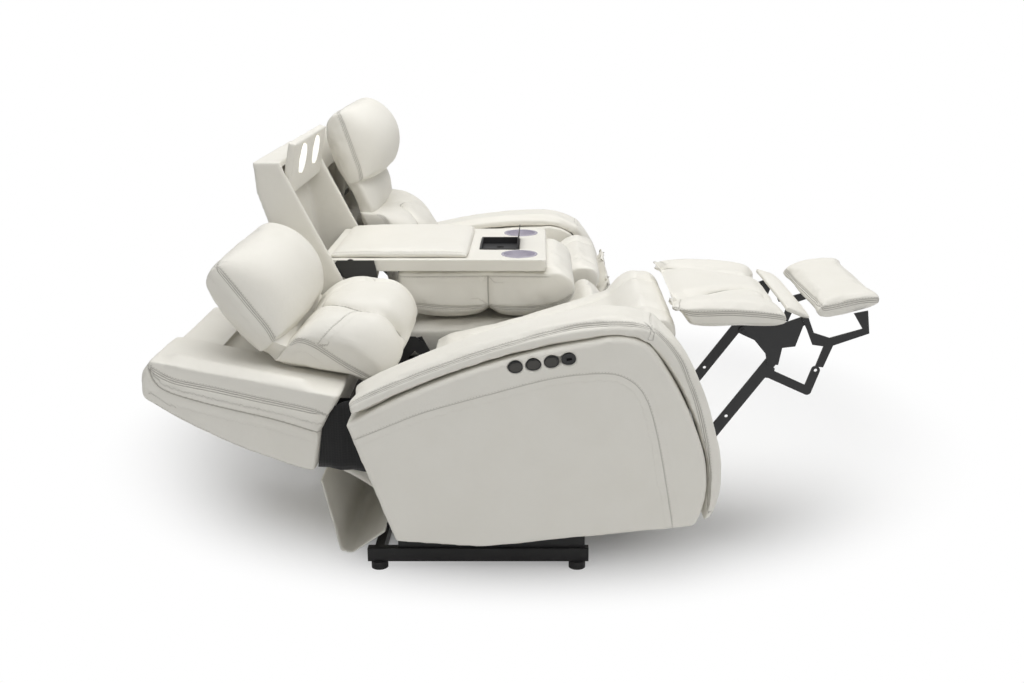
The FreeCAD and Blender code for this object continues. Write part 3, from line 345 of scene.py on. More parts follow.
@dataclass(frozen=True)
class Plain:
    """A painted, moulded or plated surface with a faint tooth."""

    name: str
    colour: Point
    rough: float = 0.4
    metal: float = 0.0
    coat: float = 0.0
    tooth_scale: float = 900.0
    tooth: float = 0.00012
    glow: float = 0.0

    def build(self) -> bpy.types.Material:
        """Returns the material."""
        shade = Shade(self.name)
        tooth = shade.noise(self.tooth_scale, 3.0)
        broad = shade.noise(14.0, 2.0)
        rough = self.rough + (broad - 0.5) * 0.12
        colour = shade.mix(broad.fade(0.3, 0.75, 0.0, 0.4), (*self.colour, 1.0),
                           tuple(c * 1.18 + 0.004 for c in self.colour) + (1.0,))
        shade.set(Base_Color=colour, Metallic=self.metal, Roughness=rough, Coat_Weight=self.coat,
                  Normal=shade.bump(tooth, 0.4, self.tooth))
        # Emission: a lamp in the light lens, painted light on the cup lining, which is no lamp.
        if self.glow:
            shade.set(Emission_Color=(*self.colour, 1.0), Emission_Strength=self.glow)
        return shade.material


@dataclass(frozen=True)
class Weave:
    """A plain woven cloth."""

    name: str
    colour: Point
    pitch: float = 0.0011
    height: float = 0.0004

    def build(self) -> bpy.types.Material:
        """Returns the material."""
        shade = Shade(self.name)
        place = shade.node("ShaderNodeTexCoord", out="Object")
        waves = []
        for direction in ("X", "Y", "Z"):
            waves.append(shade.node("ShaderNodeTexWave", {"bands_direction": direction},
                                    Vector=place, Scale=0.05 / self.pitch, Distortion=1.2,
                                    Detail=1.0))
        height = waves[0] * waves[1] + waves[2] * 0.5
        # Painted shade: the sunk threads of the weave are drawn darker.
        sunk_shade = tuple(c * 0.7 for c in self.colour)
        colour = shade.mix(height.fade(0.2, 1.0, 0.0, 1.0), (*sunk_shade, 1.0), (*self.colour, 1.0))
        shade.set(Base_Color=colour, Roughness=0.9, Sheen_Weight=0.25,
                  Normal=shade.bump(height, 0.6, self.height))
        return shade.material


FINISHES = (
    Leather(),
    Plain("black_steel", (0.016, 0.016, 0.017), rough=0.34, coat=0.15),
    Plain("black_plastic", (0.028, 0.028, 0.029), rough=0.5),
    Plain("button_plastic", (0.042, 0.039, 0.033), rough=0.3, coat=0.3),
    # Painted light: the cup lining glows though it is no lamp, to brighten its plated ring.
    Plain("cup_lining", (0.52, 0.50, 0.58), rough=0.24, metal=0.55, glow=0.12),
    Plain("light_lens", (0.95, 0.94, 0.90), rough=0.4, glow=0.6),
    Plain("grey_plastic", (0.055, 0.054, 0.056), rough=0.42),
    Plain("rod_steel", (0.55, 0.55, 0.56), rough=0.28, metal=1.0),
    Weave("black_cloth", (0.018, 0.018, 0.019)),
)


class Finishes:
    """The sofa's materials by name."""

    def __init__(self, frame: dict[str, Any]) -> None:
        """Builds each finish and puts it on the CAD nodes.
        """
        self.made = {finish.name: finish.build() for finish in FINISHES}
        slots = {row["node"]: row["material_slot"] for row in frame["record"]["subparts"]}
        for node, owner in frame["nodes"].items():
            self.put(owner, slots[node])
        LOG.info("finishes: %d", len(self.made))

    def put(self, owner: bpy.types.Object, name: str) -> bpy.types.Object:
        """Gives an object one finish.

        Args:
            owner: the object.
            name: the finish's name.

        Returns:
            The same object.
        """
        owner.data.materials.clear()
        owner.data.materials.append(self.made[name])
        return owner


class SeatPlace:
    """Where the seats stand, and how the open one's bodies have moved."""

    TILT_FORWARD = 0.350

    def __init__(self, frame: dict[str, Any]) -> None:
        """Reads the left seat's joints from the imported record.
        """
        self.joints = {joint["child"]: joint for joint in frame["record"]["behaviour"]["joints"]}
        tilt = self.joints["left_carriage"]["pos_m"]
        self.centre = Vector((tilt[0], tilt[1] - self.TILT_FORWARD, 0.0))

    def point(self, outward: float, forward: float, up: float) -> Vector:
        """Returns a place of the closed left seat in the row frame."""
        return self.centre + Vector((outward, -forward, up))

    def opened(self, body: str) -> Matrix:
        """Returns how a body of the left seat moves from closed to fully open.

        Args:
            body: the body's name without its side.

        Returns:
            The motion in the row frame.
        """
        joint = self.joints.get("left_" + body)
        if joint is None:
            return Matrix.Identity(4)
        axis = Vector(joint["axis"])
        span = joint.get("range_m") or joint.get("range_deg")
        far = max(span, key=abs)
        if joint["type"] == "slide":
            own = Matrix.Translation(axis * far)
        else:
            hub = Matrix.Translation(Vector(joint["pos_m"]))
            own = hub @ Matrix.Rotation(math.radians(far), 4, axis) @ hub.inverted()
        parent = joint["parent"].replace("left_", "")
        return self.opened(parent) @ own

    def placing(self, side: Side, body: str) -> Matrix:
        """Returns the matrix that brings a left piece to its seat at rest."""
        if side is Side.LEFT:
            return Matrix.Identity(4)
        return Matrix.Diagonal((-1.0, 1.0, 1.0, 1.0)) @ self.opened(body)


def only(*owners: bpy.types.Object) -> None:
    """Selects these objects alone.

    Args:
        *owners: the objects; the first becomes active.
    """
    bpy.ops.object.select_all(action="DESELECT")
    for owner in owners:
        owner.select_set(True)
    bpy.context.view_layer.objects.active = owners[0]


def only_none() -> None:
    """Leaves nothing selected."""
    bpy.ops.object.select_all(action="DESELECT")


def applied(owner: bpy.types.Object, kind: str, **settings: Any) -> bpy.types.Object:
    """Adds a modifier and applies it.

    Args:
        owner: the object.
        kind: the modifier's type.
        **settings: its settings.

    Returns:
        The same object.
    """
    only(owner)
    made = owner.modifiers.new(kind.title(), kind)
    for key, value in settings.items():
        setattr(made, key, value)
    bpy.ops.object.modifier_apply(modifier=made.name)
    return owner


def node_copy(node: str, name: str) -> bpy.types.Object:
    """Returns a merged copy of a CAD node.

    Args:
        node: the node's name.
        name: the copy's name.

    Returns:
        The new object, with its place in its mesh.
    """
    source = bpy.data.objects[node] if node in bpy.data.objects else FRAME["nodes"][node]
    mesh = source.data.copy()
    mesh.name = name
    owner = bpy.data.objects.new(name, mesh)
    bpy.context.scene.collection.objects.link(owner)
    only(owner)
    bpy.ops.object.mode_set(mode="EDIT")
    bpy.ops.mesh.select_all(action="SELECT")
    bpy.ops.mesh.remove_doubles(threshold=0.00002)
    bpy.ops.object.mode_set(mode="OBJECT")
    mesh.materials.clear()
    return owner


def coordinates(mesh: bpy.types.Mesh) -> np.ndarray:
    """Returns the mesh's points as rows."""
    flat = np.empty(len(mesh.vertices) * 3, np.float32)
    mesh.vertices.foreach_get("co", flat)
    return flat.reshape(-1, 3).astype(float)


def normals(mesh: bpy.types.Mesh) -> np.ndarray:
    """Returns the mesh's point normals as rows."""
    flat = np.empty(len(mesh.vertices) * 3, np.float32)
    mesh.vertices.foreach_get("normal", flat)
    return flat.reshape(-1, 3).astype(float)


def put_back(mesh: bpy.types.Mesh, points: np.ndarray) -> None:
    """Writes the mesh's points."""
    mesh.vertices.foreach_set("co", points.astype(np.float32).ravel())
    mesh.update()


@dataclass
class Seam:
    """One sewn line over a piece, in its own frame's metres."""

    points: Sequence[Vector]
    sewing: Sewing
    step: float = 0.008
    evened: int = 10

    def laid(self, tree: BVHTree) -> tuple[np.ndarray, np.ndarray]:
        """Lays the line on a surface.

        Args:
            tree: the surface.

        Returns:
            The line's points and the surface's normals there.
        """
        dense: list[Vector] = []
        count = len(self.points)
        for index in range(count - 1):
            before = self.points[max(index - 1, 0)]
            start, end = self.points[index], self.points[index + 1]
            after = self.points[min(index + 2, count - 1)]
            pieces = max(1, round((end - start).length / self.step))
            for k in range(pieces):
                t = k / pieces
                dense.append(0.5 * ((2 * start) + (end - before) * t
                                    + (2 * before - 5 * start + 4 * end - after) * t * t
                                    + (3 * start - before - 3 * end + after) * t ** 3))
        dense.append(self.points[-1])
        places, ups = [], []
        for spot in dense:
            found, normal, _, _ = tree.find_nearest(spot)
            places.append(found)
            ups.append(normal)
        for _ in range(self.evened):
            places = ([places[0]] + [(places[i - 1] + places[i] * 2 + places[i + 1]) / 4
                                     for i in range(1, len(places) - 1)] + [places[-1]])
        return np.array(places), np.array(ups)


class Sewer:
    """Draws seams into a finished pad.

    MARGIN is how far past a seam's reach its attribute still holds, and TURNED the least share of
    its normal that a point has to have to be on the sewn side.
    """

    MARGIN = 0.01
    TURNED = -0.2
    UNSEWN = 1.0
    FAR = 9.0

    def __init__(self, owner: bpy.types.Object) -> None:
        """Reads the pad.

        Args:
            owner: the pad, with its final mesh.
        """
        self.mesh = owner.data
        self.points = coordinates(self.mesh)
        self.normals = normals(self.mesh)
        self.tree = BVHTree.FromObject(owner, bpy.context.evaluated_depsgraph_get())
        self.best = np.full(len(self.points), self.UNSEWN)
        self.seam = np.tile((0.0, self.UNSEWN, 0.0), (len(self.points), 1))
        self.dip = np.zeros(len(self.points))
        self.puff = np.zeros(len(self.points))

    def sew(self, seam: Seam) -> None:
        """Draws one line.

        Args:
            seam: the line.
        """
        line, ups = seam.laid(self.tree)
        reach = seam.sewing.reach
        low, high = line.min(0) - reach - self.MARGIN, line.max(0) + reach + self.MARGIN
        near = np.where(((self.points > low) & (self.points < high)).all(1))[0]
        if not len(near):
            return
        spots = self.points[near]
        start, run = line[:-1], np.diff(line, axis=0)
        length = np.linalg.norm(run, axis=1) + 1e-9
        along = np.concatenate([[0.0], np.cumsum(length)])
        best = np.full(len(near), self.FAR)
        data = np.zeros((len(near), 2))
        facing = np.zeros(len(near))
        for index in range(len(run)):
            gap = spots - start[index]
            share = np.clip(gap @ run[index] / length[index] ** 2, 0, 1)
            offset = gap - share[:, None] * run[index]
            far = np.linalg.norm(offset, axis=1)
            better = far < best
            side = np.sign(offset @ np.cross(run[index], ups[index]))
            best = np.where(better, far, best)
            data[better, 0] = (along[index] + share * length[index])[better]
            data[better, 1] = (side * far)[better]
            facing[better] = (self.normals[near] @ ups[index])[better]
        good = (best < reach + self.MARGIN) & (facing > self.TURNED)
        roll = np.clip(1 - best / reach, 0, 1)
        dip = seam.sewing.depth * (1 - np.sqrt(np.clip(1 - roll ** 2, 0, 1)))
        if seam.sewing is Sewing.PUFF:
            swell = seam.sewing.depth * np.cos(np.clip(best / reach, 0, 1) * math.pi / 2) ** 2
            self.puff[near] = np.where(good, np.minimum(self.puff[near], swell), self.puff[near])
            return
        self.dip[near] = np.where(good, np.maximum(self.dip[near], dip), self.dip[near])
        take = good & (best < self.best[near])
        chosen = near[take]
        self.best[chosen] = best[take]
        self.seam[chosen, :2] = data[take]
        self.seam[chosen, 2] = seam.sewing.mark

    def finish(self) -> None:
        """Writes the dips and the seam attribute."""
        put_back(self.mesh, self.points - self.normals * (self.dip + self.puff)[:, None])
        attribute = self.mesh.attributes.new("seam", "FLOAT_VECTOR", "POINT")
        attribute.data.foreach_set("vector", self.seam.astype(np.float32).ravel())


RUMPLE_SCALE = 11.0
RUMPLE_NOISE = (0.9, 2.1, 3)


@dataclass
class Pad:
    """One padded leather piece, made from its CAD solid.

    The cover starts inset from the solid, and is filled until its points have moved by the cap.
    """

    node: str
    body: str
    voxel: float = 0.009
    inset: float = 0.010
    pressure: float = 4.0
    cap: float = 0.013
    smooth: int = 6
    rumple: float = 0.0010
    divide: bool = True
    swell: bool = True
    fill: float = 0.75
    seams: list[Seam] = field(default_factory=list)
    owner: bpy.types.Object | None = None
    start: np.ndarray | None = None

    def cut(self, source: str, name: str) -> None:
        """Copies, remeshes and rounds the solid.

        Args:
            source: the CAD node to copy.
            name: the piece's name.
        """
        self.owner = node_copy(source, name)
        applied(self.owner, "REMESH", mode="VOXEL", voxel_size=self.voxel, use_smooth_shade=True)
        applied(self.owner, "SMOOTH", factor=0.5, iterations=self.smooth)
        mesh = self.owner.data
        points = coordinates(mesh) - normals(mesh) * self.inset
        put_back(mesh, points)
        self.start = points

    def close(self) -> None:
        """Divides, rumples and sews the filled cover."""
        mesh = self.owner.data
        if self.divide:
            applied(self.owner, "SUBSURF", levels=1, render_levels=1)
        points, ups = coordinates(mesh), normals(mesh)
        shift = np.array([noise.fractal(Vector(p) * RUMPLE_SCALE, *RUMPLE_NOISE) for p in points])
        put_back(mesh, points + ups * (shift * self.rumple)[:, None])
        sewer = Sewer(self.owner)
        for seam in self.seams:
            sewer.sew(seam)
        sewer.finish()
        mesh.shade_smooth()

    def capped(self, points: np.ndarray) -> np.ndarray:
        """Returns the filled cover's points, none further than the cap from its start."""
        move = points - self.start
        far = np.linalg.norm(move, axis=1)
        share = np.minimum(1.0, self.cap / np.maximum(far, 1e-9))
        return self.start + move * share[:, None]


class Filling:
    """Fills a set of covers at once with a cloth simulation."""

    FRAMES = 20
    QUICK_SHARE = 0.45
    LEATHER = {
        "quality": 4,
        "mass": 0.3,
        "tension_stiffness": 18.0,
        "compression_stiffness": 18.0,
        "shear_stiffness": 8.0,
        "bending_stiffness": 0.6,
        "use_pressure": True,
    }

    def __init__(self, pads: Sequence[Pad]) -> None:
        """Keeps the covers that are to swell.

        Args:
            pads: the pads, already cut.
        """
        self.pads = [pad for pad in pads if pad.swell]

    def run(self) -> None:
        """Simulates, caps and applies the swelling."""
        scene = bpy.context.scene
        for pad in self.pads:
            made = pad.owner.modifiers.new("Filling", "CLOTH")
            settings = made.settings
            for key, value in self.LEATHER.items():
                setattr(settings, key, value)
            settings.uniform_pressure_force = pad.pressure
            settings.effector_weights.gravity = 0.0
            made.point_cache.frame_start = 1
            made.point_cache.frame_end = self.FRAMES
        for step in range(1, self.FRAMES + 1):
            scene.frame_set(step)
        graph = bpy.context.evaluated_depsgraph_get()
        for pad in self.pads:
            filled = coordinates(pad.owner.evaluated_get(graph).data)
            pad.owner.modifiers.clear()
            put_back(pad.owner.data, pad.capped(filled))
            applied(pad.owner, "SMOOTH", factor=0.5, iterations=2)
        scene.frame_set(1)
        LOG.info("filled %d covers", len(self.pads))


class EndSeats:
    """The two reclining seats, made on the left one and copied to the right."""

    def __init__(self, place: SeatPlace, finishes: Finishes) -> None:
        """Lists the pads with their sewn lines.

        Args:
            place: where the seats stand.
            finishes: the materials.
        """
        self.place = place
        self.finishes = finishes
        self.pads = [
            Pad("arm_body", "carriage", voxel=0.009, inset=0.002, cap=0.004, smooth=4, swell=False,
                seams=self.lines(Sewing.STITCHED, ARM_PANEL)),
            Pad("arm_pad", "carriage", voxel=0.0085, inset=0.007, cap=0.009,
                seams=self.lines(Sewing.PIPED, ARM_TOP) + self.lines(Sewing.STITCHED, ARM_CROSS)),
            Pad("seat_cushion", "carriage", voxel=0.010, cap=0.015,
                seams=self.lines(Sewing.CHANNEL, *SEAT_CHANNELS)),
            Pad("back_cushion", "back", voxel=0.010, cap=0.013,
                seams=self.lines(Sewing.CHANNEL, *BACK_CHANNELS)
                + self.lines(Sewing.PIPED, *BACK_PIPING)
                + self.lines(Sewing.STITCHED, *BACK_CROSS)),
            Pad("headrest", "head", voxel=0.008, cap=0.010,
                seams=self.lines(Sewing.PIPED, *HEAD_PIPING)),
            Pad("back_shell", "back", voxel=0.009, inset=0.003, cap=0.008, smooth=5, swell=False,
                seams=self.lines(Sewing.PUFF, WING_TOP, WING_SIDE)
                + self.lines(Sewing.PIPED, WING_PIPING) + self.lines(Sewing.FOLD, WING_GUSSET)
                + self.lines(Sewing.STITCHED, WING_HEM)),
            Pad("rear_flap", "carriage", voxel=0.006, inset=0.0005, smooth=3, swell=False,
                divide=False, rumple=0.0015),
            Pad("calf_pad", "calf", voxel=0.008, cap=0.012,
                seams=self.lines(Sewing.CHANNEL, *CALF_CHANNELS)
                + self.lines(Sewing.PIPED, *CALF_PIPING)
                + self.lines(Sewing.STITCHED, *CALF_CROSS)),
            Pad("foot_pad", "foot", voxel=0.007, inset=0.006, cap=0.010,
                seams=self.lines(Sewing.PIPED, *FOOT_PIPING)),
        ]

    def lines(self, sewing: Sewing, *runs: Run) -> list[Seam]:
        """Returns seams from seat points (outward, forward, up)."""
        return [Seam([self.place.point(*spot) for spot in run], sewing) for run in runs]

    def cut(self) -> list[Pad]:
        """Cuts every cover of the left seat."""
        for pad in self.pads:
            pad.cut("left_" + pad.node, "left_%s_leather" % pad.node)
        return self.pads

    def dress(self) -> None:
        """Sews the left pads, copies them to the right seat and fixes both to their bodies."""
        for pad in self.pads:
            pad.close()
            for side in Side:
                self.fit(pad, side)
            LOG.info("%s: %d faces", pad.node, len(pad.owner.data.polygons))

    def fit(self, pad: Pad, side: Side) -> None:
        """Puts one pad on one seat.

        Args:
            pad: the pad, sewn.
            side: the seat.
        """
        owner = pad.owner
        if side is Side.RIGHT:
            owner = self.mirrored(pad)
        self.finishes.put(owner, "leather")
        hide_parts("%s_%s" % (side.value, pad.node))
        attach(owner, "%s_%s" % (side.value, pad.body))

    def mirrored(self, pad: Pad) -> bpy.types.Object:
        """Returns the right seat's copy of a pad."""
        mesh = pad.owner.data.copy()
        mesh.transform(self.place.placing(Side.RIGHT, pad.body))
        mesh.flip_normals()
        name = "right_%s_leather" % pad.node
        mesh.name = name
        owner = bpy.data.objects.new(name, mesh)
        bpy.context.scene.collection.objects.link(owner)
        return owner


@dataclass(frozen=True)
class WebPlan:
    """One leather web: its bodies with their (forward, up) places, and its sizes in metres."""

    name: str
    start: tuple[str, tuple[float, float]]
    end: tuple[str, tuple[float, float]]
    half: float
    thick: float
    bulge: float


FOOTREST_WEB = WebPlan("footrest_web", ("calf", (0.232, 0.206)), ("foot", (0.180, 0.150)),
                       half=0.225, thick=0.012, bulge=0.012)
NECK_WEB = WebPlan("neck_web", ("back", (-0.560, 0.735)), ("head", (-0.622, 0.880)),
                   half=0.262, thick=0.050, bulge=0.030)


class Webs:
    """The soft joints of each seat: leather at neck and footrest, black cloth by the arm."""

    ROWS = 12
    COLUMNS = 24
    CLOTH_CELLS = 8
    CLOTH_OUT = 0.372
    CLOTH_WAVE = 0.006
    CLOTH_THICK = 0.002
    CLOTH_UPPER = ("back", (-0.600, 0.575), (-0.735, 0.500))
    CLOTH_LOWER = ("carriage", (-0.545, 0.500), (-0.500, 0.270))
    WEB_FILL = 0.3

    def __init__(self, place: SeatPlace, finishes: Finishes) -> None:
        """Keeps where the seats stand.

        Args:
            place: where the seats stand.
            finishes: the materials.
        """
        self.place = place
        self.finishes = finishes

    def build(self) -> None:
        """Makes every web on both seats."""
        for side in Side:
            self.web(side, FOOTREST_WEB)
            self.web(side, NECK_WEB)
            self.curtain(side)

    def moved(self, side: Side, body: str, outward: float, spot: tuple[float, float]) -> Vector:
        """Returns a closed-seat place on a body, as it stands at rest on one seat."""
        return self.place.placing(side, body) @ self.place.point(outward, *spot)

    def grid(self, name: str, rows: Sequence[Sequence[Vector]]) -> bpy.types.Object:
        """Makes a sheet from rows of points.

        Args:
            name: the piece's name.
            rows: rows of equal length.

        Returns:
            The new object.
        """
        wide = len(rows[0])
        only_none()
        bpy.ops.mesh.primitive_grid_add(x_subdivisions=wide - 1, y_subdivisions=len(rows) - 1)
        owner = bpy.context.active_object
        owner.name = owner.data.name = name
        flat = [spot for row in rows for spot in row]
        put_back(owner.data, np.array(flat))
        return owner

    def outwards(self, run: Vector) -> Vector:
        """Returns the way across a web that faces the sitter or upwards."""
        out = run.normalized().cross(Vector((1.0, 0.0, 0.0)))
        upright, level = abs(out.y) > abs(out.z), abs(out.z) > abs(out.y)
        if (upright and out.y > 0) or (level and out.z < 0):
            out *= -1.0
        return out

    def web(self, side: Side, plan: WebPlan) -> None:
        """Makes one padded leather web between two bodies.

        Args:
            side: the seat.
            plan: the web's bodies, places and sizes.
        """
        start, end, half, thick = plan.start, plan.end, plan.half, plan.thick
        rows = []
        for step in range(self.ROWS + 1):
            share = step / self.ROWS
            row = []
            for column in range(self.COLUMNS + 1):
                across = half * (column * 2 / self.COLUMNS - 1)
                first = self.moved(side, start[0], across, start[1])
                last = self.moved(side, end[0], across, end[1])
                out = self.outwards(last - first)
                swell = math.sin(math.pi * share) * plan.bulge * (1 - (across / half) ** 6)
                row.append(first.lerp(last, share) + out * (swell - thick / 2))
            rows.append(row)
        owner = self.grid("%s_%s" % (side.value, plan.name), rows)
        applied(owner, "SOLIDIFY", thickness=thick, offset=0.0)
        applied(owner, "BEVEL", width=thick * 0.4, segments=3, angle_limit=math.radians(50))
        only(owner)
        bpy.ops.object.mode_set(mode="EDIT")
        bpy.ops.mesh.select_all(action="SELECT")
        bpy.ops.mesh.normals_make_consistent(inside=False)
        bpy.ops.object.mode_set(mode="OBJECT")
        owner.data.shade_smooth()
        self.finishes.put(owner, "leather")
        first = self.moved(side, start[0], 0.0, start[1])
        last = self.moved(side, end[0], 0.0, end[1])
        "%s_%s" % (side.value, start[0])
        "%s_%s" % (side.value, end[0])
        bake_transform(owner)

    def curtain(self, side: Side) -> None:
        """Makes the black cloth that closes the gap between one seat's wing and arm."""
        upper = [self.moved(side, self.CLOTH_UPPER[0], self.CLOTH_OUT, spot)
                 for spot in self.CLOTH_UPPER[1:]]
        lower = [self.moved(side, self.CLOTH_LOWER[0], self.CLOTH_OUT, spot)
                 for spot in self.CLOTH_LOWER[1:]]
        cells = self.CLOTH_CELLS
        rows = []
        for step in range(cells + 1):
            first = upper[0].lerp(upper[1], step / cells)
            last = lower[0].lerp(lower[1], step / cells)
            waves = [self.CLOTH_WAVE * math.sin(column * 2.4) for column in range(cells + 1)]
            rows.append([first.lerp(last, column / cells) + Vector((wave, 0.0, 0.0))
                         for column, wave in enumerate(waves)])
        owner = self.grid("%s_side_cloth" % side.value, rows)
        applied(owner, "SOLIDIFY", thickness=self.CLOTH_THICK, offset=0.0)
        owner.data.shade_smooth()
        self.finishes.put(owner, "black_cloth")
        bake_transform(owner)

def both(*run: Point) -> tuple[Run, Run]:
    """Returns a run of seat points and its mirror image across the seat."""
    return run, tuple((-out, forward, up) for out, forward, up in run)


# The sewn lines of the closed left seat: points outward, forward and up from its middle.
ARM_PANEL = (
    (0.500, -0.589, 0.431), (0.500, -0.507, 0.451), (0.500, -0.433, 0.469),
    (0.500, -0.347, 0.481), (0.500, -0.254, 0.492), (0.500, -0.113, 0.507),
    (0.500, -0.023, 0.505), (0.500, 0.038, 0.496), (0.500, 0.076, 0.473),
    (0.500, 0.104, 0.428), (0.500, 0.117, 0.338), (0.500, 0.122, 0.216),
    (0.490, 0.124, 0.060),
)
ARM_TOP = (
    (0.478, -0.600, 0.508), (0.478, -0.486, 0.545), (0.478, -0.354, 0.575),
    (0.478, -0.203, 0.602), (0.478, -0.060, 0.622), (0.480, 0.075, 0.611),
    (0.482, 0.140, 0.590), (0.484, 0.193, 0.521), (0.486, 0.220, 0.410),
    (0.484, 0.230, 0.260), (0.476, 0.214, 0.060),
)
ARM_CROSS = ((0.330, 0.156, 0.593), (0.419, 0.149, 0.594), (0.494, 0.140, 0.590))
SEAT_CHANNELS = both(
    (0.150, -0.330, 0.560), (0.150, -0.100, 0.560), (0.155, 0.080, 0.565),
    (0.165, 0.190, 0.545),
)
BACK_CHANNELS = (
    *both((0.047, -0.494, 0.731), (0.111, -0.445, 0.706), (0.131, -0.423, 0.677),
          (0.148, -0.399, 0.617), (0.150, -0.375, 0.544), (0.150, -0.360, 0.480)),
    ((-0.047, -0.494, 0.731), (0.0, -0.500, 0.738), (0.047, -0.494, 0.731)),
)
BACK_PIPING = both(
    (0.288, -0.540, 0.750), (0.288, -0.522, 0.726), (0.297, -0.513, 0.676),
    (0.297, -0.511, 0.596), (0.297, -0.505, 0.500),
)
BACK_CROSS = both(
    (0.297, -0.511, 0.677), (0.276, -0.469, 0.678), (0.234, -0.428, 0.665),
    (0.150, -0.402, 0.635),
)
HEAD_PIPING = (
    *both((0.262, -0.675, 1.088), (0.287, -0.651, 1.039), (0.289, -0.629, 0.975),
          (0.289, -0.612, 0.922), (0.289, -0.599, 0.884), (0.291, -0.597, 0.850)),
    ((0.262, -0.675, 1.088), (0.180, -0.676, 1.100), (0.0, -0.676, 1.106),
     (-0.180, -0.676, 1.100), (-0.262, -0.675, 1.088)),
)
WING_PIPING = (
    (0.378, -0.759, 0.989), (0.392, -0.759, 0.947), (0.392, -0.753, 0.907),
    (0.392, -0.720, 0.835), (0.392, -0.673, 0.727), (0.392, -0.625, 0.619),
    (0.370, -0.600, 0.560),
)
WING_GUSSET = (
    (0.392, -0.765, 0.971), (0.392, -0.787, 0.935), (0.392, -0.784, 0.899),
    (0.392, -0.746, 0.791), (0.392, -0.690, 0.660), (0.383, -0.652, 0.546),
)
WING_TOP = (
    (0.340, -0.715, 0.930), (0.345, -0.680, 0.850), (0.350, -0.640, 0.750),
    (0.352, -0.600, 0.650),
)
WING_SIDE = (
    (0.396, -0.775, 0.950), (0.396, -0.768, 0.903), (0.396, -0.733, 0.812),
    (0.396, -0.682, 0.694), (0.392, -0.640, 0.585),
)
WING_HEM = (
    (0.389, -0.840, 0.938), (0.392, -0.832, 0.843), (0.390, -0.807, 0.690),
    (0.388, -0.767, 0.550), (0.392, -0.748, 0.480),
)
CALF_CHANNELS = both(
    (0.205, 0.245, 0.500), (0.183, 0.250, 0.470), (0.124, 0.253, 0.373),
    (0.088, 0.249, 0.293), (0.092, 0.241, 0.250), (0.185, 0.231, 0.209),
)
CALF_PIPING = both(
    (0.297, 0.226, 0.500), (0.297, 0.226, 0.470), (0.297, 0.225, 0.450),
    (0.297, 0.228, 0.354), (0.297, 0.224, 0.273), (0.286, 0.216, 0.203),
)
CALF_CROSS = both((0.220, 0.253, 0.479), (0.297, 0.227, 0.489))
FOOT_PIPING = (
    ((-0.235, 0.142, 0.133), (-0.152, 0.172, 0.128), (0.022, 0.168, 0.122),
     (0.200, 0.160, 0.121), (0.238, 0.142, 0.133)),
    *both((0.240, 0.142, 0.133), (0.240, 0.074, 0.131), (0.230, -0.005, 0.139)),
)

# The sewn lines of the middle place, from the middle of the sofa.
TABLE_DIVIDE = (
    (-0.258, -0.153, 0.640), (-0.262, -0.153, 0.580), (-0.250, -0.153, 0.530),
    (-0.120, -0.153, 0.515), (0.120, -0.153, 0.515), (0.250, -0.153, 0.530),
    (0.262, -0.153, 0.580), (0.258, -0.153, 0.640),
)
TABLE_SIDES = (
    (((0.258, -0.430, 0.560), (0.262, -0.300, 0.545), (0.262, -0.100, 0.540),
      (0.258, 0.030, 0.545), (0.250, 0.100, 0.580)), Sewing.PIPED),
    (((0.258, -0.430, 0.645), (0.258, -0.200, 0.645), (0.258, 0.020, 0.645)), Sewing.STITCHED),
)
LID_EDGE = ((-0.215, -0.625, 0.712), (-0.218, -0.400, 0.714), (-0.215, -0.170, 0.712))


class MiddlePlace:
    """The fixed middle seat with its folding table, back box and reading lights."""

    def __init__(self, place: SeatPlace, finishes: Finishes) -> None:
        """Lists the pads.

        Args:
            place: where the seats stand.
            finishes: the materials.
        """
        self.centre_y = place.centre.y
        self.finishes = finishes
        self.pads = [
            Pad("middle_seat_cushion", "base", voxel=0.010, cap=0.018),
            Pad("middle_front_panel", "base", voxel=0.008, inset=0.003, cap=0.006, smooth=4),
            Pad("console_box", "base", voxel=0.007, inset=0.001, smooth=3, swell=False,
                divide=False),
            Pad("light_panel", "base", voxel=0.007, inset=0.001, smooth=3, swell=False,
                divide=False),
            Pad("table_body", "table", voxel=0.005, inset=0.0, smooth=2, swell=False, divide=False,
                rumple=0.0006),
            Pad("table_cushion", "table", voxel=0.009, inset=0.004, cap=0.016,
                seams=[self.seam(TABLE_DIVIDE, Sewing.CHANNEL)]
                + [self.seam([(side * x, f, z) for x, f, z in run], sewing)
                   for side in (-1, 1) for run, sewing in TABLE_SIDES]),
            Pad("storage_lid", "storage", voxel=0.006, inset=0.001, cap=0.006, smooth=3,
                divide=False, rumple=0.0005, seams=[self.seam(LID_EDGE, Sewing.STITCHED)]),
        ]

    def spot(self, across: float, forward: float, up: float) -> Vector:
        """Returns a place of the middle seat in the row frame."""
        return Vector((across, self.centre_y - forward, up))

    def seam(self, run: Sequence[Point], sewing: Sewing) -> Seam:
        """Returns one seam from middle-seat points."""
        return Seam([self.spot(*point) for point in run], sewing)

    def cut(self) -> list[Pad]:
        """Cuts every cover of the middle place."""
        for pad in self.pads:
            pad.cut(pad.node, pad.node + "_leather")
        return self.pads

    def dress(self) -> None:
        """Sews the pads and fixes them to their bodies."""
        for pad in self.pads:
            pad.close()
            self.finishes.put(pad.owner, "leather")
            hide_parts(pad.node)
            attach(pad.owner, pad.body)
            LOG.info("%s: %d faces", pad.node, len(pad.owner.data.polygons))


